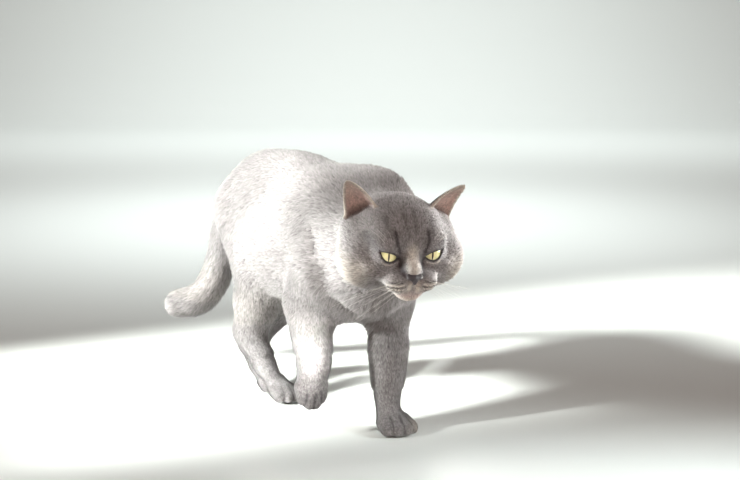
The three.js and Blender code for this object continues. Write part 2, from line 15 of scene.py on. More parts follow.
import bpy
import numpy as np
import openvdb
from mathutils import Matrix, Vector

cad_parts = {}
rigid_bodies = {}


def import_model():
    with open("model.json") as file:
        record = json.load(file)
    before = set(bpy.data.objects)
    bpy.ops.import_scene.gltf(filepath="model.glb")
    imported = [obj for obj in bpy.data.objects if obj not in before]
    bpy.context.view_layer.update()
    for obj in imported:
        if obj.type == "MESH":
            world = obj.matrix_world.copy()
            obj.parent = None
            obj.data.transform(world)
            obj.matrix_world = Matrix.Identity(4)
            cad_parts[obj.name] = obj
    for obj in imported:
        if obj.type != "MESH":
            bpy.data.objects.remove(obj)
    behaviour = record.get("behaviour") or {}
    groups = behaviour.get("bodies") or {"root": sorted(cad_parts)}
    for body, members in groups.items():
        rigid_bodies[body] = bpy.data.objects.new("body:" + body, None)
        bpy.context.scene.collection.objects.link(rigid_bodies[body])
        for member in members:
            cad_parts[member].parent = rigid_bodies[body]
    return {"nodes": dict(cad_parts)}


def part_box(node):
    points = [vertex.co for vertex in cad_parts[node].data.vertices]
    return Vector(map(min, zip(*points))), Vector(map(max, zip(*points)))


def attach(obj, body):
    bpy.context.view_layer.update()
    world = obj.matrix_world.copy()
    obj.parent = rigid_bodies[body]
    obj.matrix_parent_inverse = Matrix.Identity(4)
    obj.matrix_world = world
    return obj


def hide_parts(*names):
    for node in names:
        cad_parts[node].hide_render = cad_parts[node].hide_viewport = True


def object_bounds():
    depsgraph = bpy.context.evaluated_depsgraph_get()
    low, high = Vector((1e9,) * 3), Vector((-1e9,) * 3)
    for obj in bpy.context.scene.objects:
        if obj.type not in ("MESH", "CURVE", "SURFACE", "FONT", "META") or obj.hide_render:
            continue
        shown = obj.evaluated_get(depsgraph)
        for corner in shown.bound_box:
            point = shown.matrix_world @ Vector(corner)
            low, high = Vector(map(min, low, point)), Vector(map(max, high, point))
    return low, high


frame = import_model()
CAD_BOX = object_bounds()

LOG = logging.getLogger("cat")
MM = 0.001
ROOT = "root"

FLOOR_GAP = 0.4  # how far every point stays above the floor

Array = np.ndarray
Point = tuple[float, float, float]
Stroke = tuple[float, tuple[tuple[float, float], ...], float]

# the kinds of node that are used over and over
MATH = "ShaderNodeMath"
VECTOR_MATH = "ShaderNodeVectorMath"
MIX = "ShaderNodeMix"
MAP_RANGE = "ShaderNodeMapRange"
NOISE = "ShaderNodeTexNoise"
ATTRIBUTE = "ShaderNodeAttribute"
PLACES = "ShaderNodeTexCoord"


class Side(Enum):
    """The cat's own left and right, as a sign along X."""

    LEFT = 1
    RIGHT = -1

    @property
    def word(self) -> str:
        """The word that ends this side's node names."""
        return self.name.lower()


# ---------------------------------------------------------------- small helpers


def turned(axis: str, degrees: float) -> Array:
    """Makes the 3 by 3 matrix that turns a column vector about an axis.

    Args:
        axis: The axis, as x, y or z.
        degrees: How far it turns, anticlockwise seen from the axis's end.

    Returns:
        The matrix.
    """
    c = math.cos(math.radians(degrees))
    s = math.sin(math.radians(degrees))
    if axis == "x":
        return np.array([[1, 0, 0], [0, c, -s], [0, s, c]], float)
    if axis == "y":
        return np.array([[c, 0, s], [0, 1, 0], [-s, 0, c]], float)
    return np.array([[c, -s, 0], [s, c, 0], [0, 0, 1]], float)


def smooth_min(a: Array, b: Array, blend: float) -> Array:
    """Joins two fields with a fillet about as deep as blend."""
    near = np.maximum(blend - np.abs(a - b), 0.0) / blend
    return np.minimum(a, b) - near * near * blend / 4


def smooth_max(a: Array, b: Array, blend: float) -> Array:
    """Keeps what lies in both fields, with an edge rounded by about blend."""
    return -smooth_min(-a, -b, blend)


def smooth_union(fields: list[Array], blend: float) -> Array:
    """Joins any number of fields, one after another.

    Args:
        fields: The fields.
        blend: How deep the fillets are.

    Returns:
        The joined field.
    """
    total = fields[0]
    for one in fields[1:]:
        total = smooth_min(total, one, blend)
    return total


def ellipsoid(p: Array, centre: Point | Array, radii: Point, tilt: float = 0.0) -> Array:
    """Gives the distance to an ellipsoid, below zero inside it.

    Args:
        p: Points, with x, y and z last.
        centre: The middle of the ellipsoid.
        radii: Its three radii.
        tilt: Degrees that it is turned about X, nose end down.

    Returns:
        One distance for each point.
    """
    d = p - np.asarray(centre, float)
    c = math.cos(math.radians(tilt))
    s = math.sin(math.radians(tilt))
    x, y, z = d[..., 0], d[..., 1] * c + d[..., 2] * s, d[..., 2] * c - d[..., 1] * s
    a, b, e = radii
    scaled = np.sqrt((x / a) ** 2 + (y / b) ** 2 + (z / e) ** 2)
    steep = np.sqrt((x / a**2) ** 2 + (y / b**2) ** 2 + (z / e**2) ** 2)
    return np.where(steep < 1e-9, -min(radii), scaled * (scaled - 1) / np.maximum(steep, 1e-9))


def along_segment(p: Array, a: Point | Array, b: Point | Array) -> tuple[Array, Array]:
    """Gives each point's distance from a segment, and how far along it the nearest place lies.

    Args:
        p: Points, with x, y and z last.
        a: Where the segment starts.
        b: Where it ends.

    Returns:
        The distances, and the places from 0 at a to 1 at b.
    """
    a, b = np.asarray(a, float), np.asarray(b, float)
    line = b - a
    t = np.clip(((p - a) @ line) / max(float(line @ line), 1e-9), 0, 1)
    off = np.linalg.norm(p - a - t[..., None] * line, axis=-1)
    return off, t


def limb(p: Array, a: Point | Array, b: Point | Array, ra: float, rb: float) -> Array:
    """Gives the distance to a limb that tapers from radius ra at a to rb at b."""
    off, t = along_segment(p, a, b)
    return off - (ra + (rb - ra) * t)


def near_line(p: Array, points: list[Point], width: float) -> Array:
    """Gives 1 on a line through points, falling smoothly to 0 at about twice its width.

    Args:
        p: Points, with x, y and z last.
        points: The corners of the line.
        width: The line's width.

    Returns:
        One number for each point.
    """
    nearest = np.full(p.shape[:-1], 1e9)
    for a, b in zip(points, points[1:]):
        nearest = np.minimum(nearest, along_segment(p, a, b)[0])
    return np.exp(-((nearest / width) ** 2))


def smooth_step(value: Array, low: float, high: float) -> Array:
    """Rises smoothly from 0 at low to 1 at high."""
    t = np.clip((value - low) / (high - low), 0, 1)
    return t * t * (3 - 2 * t)


def unit(vectors: Array) -> Array:
    """Gives vectors of length one."""
    return vectors / np.maximum(np.linalg.norm(vectors, axis=-1, keepdims=True), 1e-9)


def linear(hex_colour: str) -> tuple[float, float, float, float]:
    """Turns an sRGB colour such as '#85818a' into linear red, green, blue and alpha.

    Args:
        hex_colour: The colour.

    Returns:
        The four numbers, from 0 to 1.
    """
    parts = [int(hex_colour[i : i + 2], 16) / 255 for i in (1, 3, 5)]
    turned_linear = [c / 12.92 if c <= 0.04045 else ((c + 0.055) / 1.055) ** 2.4 for c in parts]
    return (*turned_linear, 1.0)


def add_node(
    tree: bpy.types.NodeTree, kind: str, inputs: dict | None = None, **settings: Any
) -> bpy.types.Node:
    """Adds a node to a tree with its settings and links.

    Args:
        tree: The node tree.
        kind: The node's type, such as ShaderNodeMix.
        inputs: For each socket's name or number, a value, the output socket that feeds it, or a node
            whose first output in use feeds it.
        **settings: The node's own properties.

    Returns:
        The new node.
    """
    node = tree.nodes.new(kind)
    for name, value in settings.items():
        setattr(node, name, value)
    for key, value in (inputs or {}).items():
        if isinstance(value, bpy.types.Node):
            value = next(socket for socket in value.outputs if socket.enabled)
        if isinstance(value, bpy.types.NodeSocket):
            tree.links.new(value, node.inputs[key])
        else:
            node.inputs[key].default_value = value
    return node


def new_mesh_object(name: str, points: Array, faces: Array) -> bpy.types.Object:
    """Makes an object at the origin from points in millimetres and faces of equal size.

    Args:
        name: The object's name.
        points: Its points.
        faces: The numbers of each face's corners.

    Returns:
        The object, linked to the scene.
    """
    mesh = bpy.data.meshes.new(name)
    corners = faces.shape[1]
    mesh.vertices.add(len(points))
    mesh.vertices.foreach_set("co", (points * MM).astype(np.float32).ravel())
    mesh.loops.add(faces.size)
    mesh.loops.foreach_set("vertex_index", faces.astype(np.int32).ravel())
    mesh.polygons.add(len(faces))
    mesh.polygons.foreach_set("loop_start", np.arange(0, faces.size, corners, dtype=np.int32))
    mesh.update(calc_edges=True)
    mesh.validate()
    mesh.shade_smooth()
    piece = bpy.data.objects.new(name, mesh)
    bpy.context.scene.collection.objects.link(piece)
    return piece


def put_attribute(mesh: bpy.types.Mesh, name: str, values: Array) -> None:
    """Stores one number or one vector for each point of a mesh.

    Args:
        mesh: The mesh.
        name: The attribute's name.
        values: The numbers, or the vectors.
    """
    is_vector = values.ndim == 2
    attribute = mesh.attributes.new(name, "FLOAT_VECTOR" if is_vector else "FLOAT", "POINT")
    attribute.data.foreach_set("vector" if is_vector else "value", values.astype(np.float32).ravel())


# ---------------------------------------------------------------- places taken from the frame


@dataclass(frozen=True)
class Pose:
    """A turned and moved frame of reference, such as the head's."""

    origin: Array
    turn: Array

    def local(self, p: Array) -> Array:
        """Gives points of the cat in this frame."""
        return (p - self.origin) @ self.turn

    def world(self, q: Array) -> Array:
        """Gives points of this frame in the cat's."""
        return np.asarray(q, float) @ self.turn.T + self.origin

    def within(self, place: Point, turn: Array) -> "Pose":
        """Gives a frame that sits at a place in this one."""
        return Pose(self.world(place), self.turn @ turn)


HEAD_TURN = 8.5  # degrees to the cat's right
HEAD_DROP = 16.0  # degrees nose down
EYE_SPACING = 43.5
EYE_RADIUS = 10.8
HEAD_CENTRE = np.array([-7.0, -140.0, 215.0])  # in the sculptor's frame, with the hips at y = 210
HIP_Y = 210.0


def eye_place(side: Side) -> Point:
    """Gives the middle of an eye in the head's frame."""
    return (side.value * EYE_SPACING / 2, -31.0, 4.0)


def box_centre(node: str) -> Array:
    """Gives the middle of a solid's box in millimetres."""
    low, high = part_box(node)
    return (np.array(low) + np.array(high)) / 2 / MM


def head_pose() -> Pose:
    """Finds the head's frame from the places of the two eyes.

    Returns:
        The frame, with -y out of the face and z up.
    """
    turn = turned("z", -HEAD_TURN) @ turned("x", HEAD_DROP)
    between = (box_centre("eye_left") + box_centre("eye_right")) / 2
    middle = np.array([0.0, *eye_place(Side.LEFT)[1:]])
    return Pose(between - turn @ middle, turn)


HEAD = head_pose()
SHIFT = HEAD.origin - HEAD_CENTRE


def placed(x: float, y: float, z: float) -> Array:
    """Gives a place of the sculptor's frame in the cat's."""
    return np.array([x, y, z]) + SHIFT


# ---------------------------------------------------------------- the sculpt of the head


@dataclass(frozen=True)
class EyeOpening:
    """The gap between the lids: nearly flat on top, round below, its outer corner higher."""

    half_length: float = 9.2
    rise: float = 1.9
    slant: float = 19.0
    upper: float = 2.4
    lower: float = 6.4
    lower_fullness: float = 0.8  # below 1, the lower lid is rounder than a parabola
    lid: float = 1.5
    lid_edge: float = 0.7
    socket_depth: float = 2.5
    rim_reach: float = 0.985  # how near the rim comes to the corners

    @property
    def slope(self) -> tuple[float, float]:
        """The cosine and the sine of the slant."""
        return math.cos(math.radians(self.slant)), math.sin(math.radians(self.slant))

    def flat(self, q: Array, side: Side) -> tuple[Array, Array]:
        """Gives each point's place along the slanted gap, and above it, seen from the front.

        Args:
            q: Points in the head's frame.
            side: Which eye.

        Returns:
            The places along, from the inner corner outwards, and above.
        """
        centre = eye_place(side)
        u = side.value * (q[..., 0] - centre[0])
        v = q[..., 2] - centre[2] - self.rise
        c, s = self.slope
        return u * c + v * s, v * c - u * s

    def lids(self, along: Array) -> tuple[Array, Array]:
        """Gives how far the lids' edges stand above and below the slanted line."""
        bow = np.maximum(1 - (along / self.half_length) ** 2, 0)
        return self.upper * bow, self.lower * bow**self.lower_fullness

    def gap(self, q: Array, side: Side) -> Array:
        """Gives about the distance to the gap's outline, below zero inside it.

        Args:
            q: Points in the head's frame.
            side: Which eye.

        Returns:
            One distance for each point.
        """
        along, above = self.flat(q, side)
        upper, lower = self.lids(along)
        ends = np.abs(along) - self.half_length
        return np.maximum(np.maximum(above - upper, -above - lower), ends)

    def cut(self, total: Array, q: Array, side: Side) -> Array:
        """Opens the gap in a field, from the front to a little below the eye's surface.

        Args:
            total: The field.
            q: Its points in the head's frame.
            side: Which eye.

        Returns:
            The field with the gap open.
        """
        away = q - np.array(eye_place(side))
        below_surface = (EYE_RADIUS - self.socket_depth) - np.linalg.norm(away, axis=-1)
        hollow = np.maximum(self.gap(q, side), below_surface)
        return smooth_max(total, -np.maximum(hollow, away[..., 1]), self.lid_edge)

    def edge(self, side: Side, count: int, radius: float) -> Array:
        """Gives a closed run of points round the gap, on a ball about the eye.

        Args:
            side: Which eye.
            count: How many points there are.
            radius: The ball's radius.

        Returns:
            The points in the head's frame.
        """
        t = np.linspace(-1, 1, count // 2, endpoint=False)
        along = np.concatenate([t, -t]) * self.half_length * self.rim_reach
        upper, lower = self.lids(along)
        above = np.where(np.arange(len(along)) < len(t), upper, -lower)
        c, s = self.slope
        x = side.value * (along * c - above * s)
        z = along * s + above * c + self.rise
        y = -np.sqrt(np.maximum(radius**2 - x**2 - z**2, 0))
        return np.stack([x, y, z], axis=1) + np.array(eye_place(side))


OPENING = EyeOpening()
LIP_LINE = [(0, -57.5, -18.5), (0, -56.6, -25.5)]
MOUTH_CORNERS = [
    (0, -56.4, -25.5),
    (5, -55.0, -28.2),
    (12, -51.0, -29.8),
    (18, -45.0, -29.2),
    (22, -38.0, -27.5),
]


def mirrored(points: list[Point], side: Side) -> list[Point]:
    """Gives a line of the head's left half on either side."""
    return [(side.value * x, y, z) for x, y, z in points]


@dataclass(frozen=True)
class OnLeaf:
    """Where points lie on the cupped leaf of an ear."""

    height: Array  # above the ear's base
    share: Array  # of the way up it, from 0 to 1
    radius: Array  # of the cup's outer face at that height
    off: Array  # distance from the cup's axis
    turn: Array  # radians left round the cup to the leaf's edge


@dataclass(frozen=True)
class Ear:
    """A cupped leaf with a round tip, which stands on the crown and leans out."""

    base: Point
    lean: float
    turn: float
    nod: float
    height: float = 46.5
    width: float = 40.0
    thickness: float = 2.7
    tip_thinning: float = 0.3
    inset: float = 0.3
    base_cup: float = 80.0  # degrees from the middle of the leaf round to its edge
    tip_cup: float = 36.0
    bow: float = 4.0
    sweep: float = 3.0
    tip_bluntness: float = 0.02
    root: float = 6.0
    edge_round: float = 1.2

    @property
    def pose(self) -> Pose:
        """The ear's frame: x runs across it, y to its back and z up it."""
        turn = turned("y", self.lean) @ turned("x", self.nod) @ turned("z", self.turn)
        return HEAD.within(self.base, turn)

    def leaf(self, p: Array, inset: float = 0.0) -> OnLeaf:
        """Finds where points lie on the leaf, whose cup is deep at the base and open at the tip.

        Args:
            p: Points in the cat's frame.
            inset: How far the leaf is drawn in from its full height and width.

        Returns:
            Their places.
        """
        q = self.pose.local(p)
        share = np.clip(q[..., 2] / (self.height - inset), 0, 1)
        half = (self.width / 2 - inset) * np.sqrt(np.maximum(1 - share, self.tip_bluntness))
        arc = np.radians(self.base_cup + (self.tip_cup - self.base_cup) * share)
        radius = half / np.sin(arc)
        bend = self.bow * np.sin(np.pi * share) - self.sweep * share
        y = q[..., 1] + radius * np.cos(arc) - bend
        turn = arc - np.abs(np.arctan2(q[..., 0], y))
        return OnLeaf(q[..., 2], share, radius, np.hypot(q[..., 0], y), turn)

    def field(self, p: Array) -> Array:
        """Gives about the distance to the ear's skin.

        Args:
            p: Points in the cat's frame.

        Returns:
            One distance for each point.
        """
        leaf = self.leaf(p, self.inset)
        thick = self.thickness * (1 - self.tip_thinning * leaf.share)
        wall = np.abs(leaf.off - (leaf.radius - self.inset - thick / 2)) - thick / 2
        rim = -leaf.turn * np.maximum(leaf.off, 1)
        ends = np.maximum(leaf.height - (self.height - self.inset), -leaf.height - self.root)
        return smooth_max(smooth_max(wall, rim, self.edge_round), ends, self.edge_round)

    def inner(self, p: Array) -> Array:
        """Gives 1 inside the ear's cup and 0 on its back.

        Args:
            p: Points in the cat's frame.

        Returns:
            One share for each point.
        """
        leaf = self.leaf(p)
        cup = smooth_step(leaf.radius - 1.5 - leaf.off, -0.5, 0.8)
        return cup * smooth_step(leaf.height, 0, 6) * smooth_step(self.height + 6 - leaf.height, 0, 4)

    def on(self, p: Array) -> Array:
        """Gives 1 on the ear itself and 0 on the head it grows from."""
        near = smooth_step(-np.abs(self.field(p)), -2.0, -0.8)
        return smooth_step(self.leaf(p).height, 3, 12) * near

    def rim(self, p: Array) -> Array:
        """Gives 1 on the ear's edge and 0 a few millimetres from it.

        Args:
            p: Points in the cat's frame.

        Returns:
            One share for each point.
        """
        leaf = self.leaf(p)
        to_edge = np.minimum(leaf.turn * leaf.off, self.height - leaf.height)
        return smooth_step(-to_edge, -3.6, -1.2)


EARS = {
    Side.LEFT: Ear((37, 5, 19), lean=32, turn=26, nod=-2),
    Side.RIGHT: Ear((-36, 5, 23), lean=-24, turn=-22, nod=-4),
}


@dataclass(frozen=True)
class HeadSculpt:
    """The round head, full cheeks and short broad muzzle, out to the tips of the coat."""

    skull_blend: float = 12.0
    face_blend: float = 7.0
    join_blend: float = 9.0
    lid_blend: float = 6.0
    lip_radius: float = 1.3
    lip_round: float = 2.0
    philtrum_round: float = 2.5

    def plain(self, q: Array) -> Array:
        """Gives the head's outline with no lids, lips or nostrils.

        Args:
            q: Points in the head's frame.

        Returns:
            One distance for each point.
        """
        sides = [side.value for side in Side]
        skull = smooth_union(
            [
                ellipsoid(q, (0, 8, 7), (47, 48, 38)),  # skull
                ellipsoid(q, (0, 2, -26), (38, 38, 20)),  # throat
                ellipsoid(q, (0, -14, 19), (31, 23, 17), 20),  # forehead
                *[ellipsoid(q, (s * 34, -6, -11), (29, 30, 29)) for s in sides],  # jowls
                *[ellipsoid(q, (s * 45, 14, 7), (11, 17, 17)) for s in sides],  # below the ears
                *[ellipsoid(q, (s * 20, -30, 15), (15, 11, 8), 8) for s in sides],  # brows
            ],
            self.skull_blend,
        )
        face = smooth_union(
            [
                limb(q, (0, -26, 6), (0, -48, -7.5), 11, 8),  # bridge of the nose
                *[ellipsoid(q, (s * 12, -42.5, -20), (14.5, 14, 11)) for s in sides],  # whisker pads
                ellipsoid(q, (0, -38, -32), (13.5, 13, 9.5)),  # chin
                *[ellipsoid(q, (s * 27, -28, -10), (15, 13, 12)) for s in sides],  # below the eyes
            ],
            self.face_blend,
        )
        return smooth_min(skull, face, self.join_blend)

    def skin(self, q: Array, depth: Array) -> Array:
        """Gives the bare head: the outline less the coat's depth, with lids, lips and philtrum.

        Args:
            q: Points in the head's frame.
            depth: The coat's depth at each point.

        Returns:
            One distance for each point.
        """
        total = self.plain(q) + depth
        for side in Side:
            off = np.linalg.norm(q - np.array(eye_place(side)), axis=-1)
            total = smooth_min(total, off - (EYE_RADIUS + OPENING.lid), self.lid_blend)
            total = OPENING.cut(total, q, side)
            for start, end in zip(MOUTH_CORNERS, MOUTH_CORNERS[1:]):
                slit = limb(q, *mirrored([start, end], side), self.lip_radius, self.lip_radius)
                total = smooth_max(total, -slit, self.lip_round)
        philtrum = limb(q, LIP_LINE[0], LIP_LINE[1], 0.8, 0.9)
        return smooth_max(total, -philtrum, self.philtrum_round)


# ---------------------------------------------------------------- the sculpt of the paws


@dataclass(frozen=True)
class Paw:
    """Four toes before a paw's pad, seen as one soft shape with grooves between the toes."""

    node: str
    ankle: Point
    size: float
    heading: float
    tip: float = 0.0
    spread: float = 1.4
    toe_root: float = 8.2
    toe_end: float = 7.6

    @property
    def pose(self) -> Pose:
        """The paw's frame: toes to -y, sole to -z."""
        return Pose(placed(*self.ankle), turned("z", self.heading) @ turned("x", self.tip))

    def toe_ends(self) -> list[tuple[Array, Array]]:
        """Finds the toes: the middle two reach further, and a raised paw's are drawn in.

        Returns:
            Each toe's root and end in the paw's frame.
        """
        toes = []
        for step in (-1.5, -0.5, 0.5, 1.5):
            reach = (-20 if abs(step) > 1 else -25) + (3 if self.tip else 0)
            root = np.array([step * 7, -6, 1]) * self.size
            end = np.array([step * (7 + self.spread), reach, -3.6]) * self.size
            toes.append((root, end))
        return toes

    def toes(self, q: Array) -> list[Array]:
        """Gives the distance to each toe."""
        k = self.size
        return [limb(q, a, b, self.toe_root * k, self.toe_end * k) for a, b in self.toe_ends()]

    def field(self, p: Array) -> Array:
        """Gives the distance to the paw, out to the tips of its coat.

        Args:
            p: Points in the cat's frame.

        Returns:
            One distance for each point.
        """
        q = self.pose.local(p)
        k = self.size
        pad = limb(q, (0, 3 * k, 2 * k), (0, -12 * k, -k), 12.5 * k, 12.8 * k)
        return smooth_min(pad, smooth_union(self.toes(q), 1.6 * k), 4.0)

    def grooves(self, p: Array) -> Array:
        """Gives 1 in the grooves between the toes, where painted shade goes, and 0 away from them.

        Args:
            p: Points in the cat's frame.

        Returns:
            One share for each point.
        """
        q = self.pose.local(p)
        k = self.size
        near = np.sort(self.toes(q), axis=0)
        ahead = smooth_step(-q[..., 1], 11 * k, 17 * k) * smooth_step(5.0 - near[0], 0, 2)
        return ahead * np.exp(-(((near[1] - near[0]) / 1.1) ** 2))

    def pads(self, p: Array) -> Array:
        """Gives the distance to the bare pads under the toes and the palm.

        Args:
            p: Points in the cat's frame.

        Returns:
            One distance for each point.
        """
        q = self.pose.local(p)
        k = self.size
        below = np.array([0, 2, -3.2]) * k
        toes = [ellipsoid(q, b + below, (4.2 * k, 5 * k, 3.6 * k)) for _, b in self.toe_ends()]
        palm = ellipsoid(q, (0, -9 * k, -9.5 * k), (9 * k, 6.5 * k, 4.5 * k))
        return smooth_union([*toes, palm], 0.5)


PAWS = [
    Paw("paw_front_left", (32, -40, 11.5), 1.06, 2),
    Paw("paw_front_right", (-53, -25, 60), 1.02, -6, 62, -1.2),
    Paw("paw_hind_right", (-21, HIP_Y - 70, 11.5), 0.96, 10),
    Paw("paw_hind_left", (-14, HIP_Y - 17, 11.5), 0.96, 3),
]


# ---------------------------------------------------------------- the lie of the coat


@dataclass(frozen=True)
class Lie:
    """A line along which the hair lies, and the hair's length, lift and depth there."""

    points: tuple[Point, ...]
    length: float
    lift: float
    depth: float
    in_head: bool = False

    def segments(self) -> list[tuple[Array, Array]]:
        """Cuts the line into segments, in the cat's frame.

        Returns:
            Each segment's start and end.
        """
        if self.in_head:
            points = [HEAD.world(p) for p in self.points]
        else:
            points = [placed(*p) for p in self.points]
        return list(zip(points, points[1:]))


def both(points: tuple[Point, ...], *values: float) -> list[Lie]:
    """Gives a line of the head's coat on both sides."""
    return [Lie(tuple(mirrored(list(points), side)), *values, in_head=True) for side in Side]


# each line's points, and the hair's length in millimetres, lift in degrees and depth in millimetres
LIES = [
    # the head, from the nose backwards
    Lie(((0, -57, -9), (0, -50, -3), (0, -42, 8)), 1.6, 22, 0.5, True),
    Lie(((0, -40, 12), (0, -30, 28), (0, -8, 40)), 4.5, 20, 1.6, True),
    Lie(((0, -8, 42), (0, 25, 44)), 7.0, 22, 2.6, True),
    *both(((8, -56, -16), (18, -48, -19), (26, -36, -20)), 2.4, 16, 0.7),
    *both(((26, -38, -16), (44, -22, -15), (58, -4, -12)), 6.5, 26, 2.6),
    *both(((48, -14, -20), (58, 8, -18)), 9.0, 30, 4.0),
    *both(((24, -34, -28), (40, -12, -34), (40, 14, -34)), 8.0, 26, 3.4),
    *both(((14, -42, 12), (22, -34, 26), (28, -14, 34)), 3.6, 18, 1.2),
    *both(((34, -32, 6), (44, -18, 10), (50, 4, 10)), 4.5, 20, 1.8),
    *both(((20, -42, -6), (34, -34, -6)), 2.4, 16, 0.8),
    Lie(((0, -48, -32), (0, -38, -40), (0, -10, -44)), 4.0, 24, 1.4, True),
    # the trunk
    Lie(((-6, -112, 252), (-2, -60, 268), (0, -10, 282)), 12, 24, 5.0),
    Lie(((0, -10, 284), (0, 110, 289), (0, 190, 287), (0, 246, 262)), 12, 22, 5.0),
    Lie(((0, -110, 168), (0, -78, 150), (0, -50, 124)), 13, 26, 5.5),
    Lie(((0, -40, 118), (0, 60, 116), (0, 150, 120)), 11, 24, 4.5),
    Lie(((44, -112, 205), (52, -60, 200), (62, -10, 190)), 12, 26, 5.2),
    Lie(((-50, -112, 205), (-52, -60, 200), (-60, -10, 190)), 12, 26, 5.2),
    Lie(((66, 10, 190), (70, 80, 188), (68, 135, 182)), 12, 22, 5.0),
    Lie(((-66, 10, 190), (-70, 80, 188), (-68, 135, 182)), 12, 22, 5.0),
    Lie(((30, 190, 272), (40, 238, 240), (36, 262, 200), (28, 250, 160)), 11, 22, 4.4),
    Lie(((-30, 190, 272), (-40, 238, 240), (-36, 262, 200), (-28, 250, 160)), 11, 22, 4.4),
    Lie(((0, -74, 138), (0, -44, 116), (0, -20, 116)), 13, 32, 5.5),
    # the legs, from the shoulder or the hip to the toes
    Lie(((46, -20, 200), (54, -24, 160), (46, -8, 130)), 9, 20, 4.0),
    Lie(((42, -8, 128), (36, -26, 84), (31, -36, 40)), 6, 18, 2.2),
    Lie(((31, -38, 34), (32, -52, 16), (32, -70, 8)), 3.2, 14, 1.0),
    Lie(((-46, -20, 200), (-54, -20, 160), (-50, 2, 130)), 9, 20, 4.0),
    Lie(((-44, 4, 128), (-47, -12, 106), (-50, -25, 74)), 6, 18, 2.2),
    Lie(((-51, -26, 68), (-53, -38, 52), (-54, -40, 32)), 3.2, 14, 1.0),
    Lie(((56, 140, 240), (64, 178, 205), (56, 200, 165), (38, 196, 130)), 11, 22, 4.4),
    Lie(((28, 195, 118), (4, 224, 84), (-14, 244, 56)), 7, 20, 2.4),
    Lie(((-16, 242, 50), (-17, 216, 30), (-14, 198, 16), (-13, 172, 8)), 3.4, 14, 1.1),
    Lie(((-56, 140, 240), (-64, 172, 205), (-56, 188, 165), (-40, 176, 130)), 11, 22, 4.4),
    Lie(((-38, 172, 118), (-40, 186, 90), (-40, 188, 72)), 7, 20, 2.4),
    Lie(((-38, 186, 66), (-30, 160, 34), (-22, 142, 15), (-24, 118, 8)), 3.4, 14, 1.1),
    # the tail
    Lie(((0, 244, 236), (-8, 288, 217), (-17, 318, 182), (-19, 330, 148)), 11, 24, 4.2),
    Lie(((-19, 330, 148), (-26, 340, 114), (-42, 352, 90), (-64, 370, 81)), 11, 24, 4.2),
]


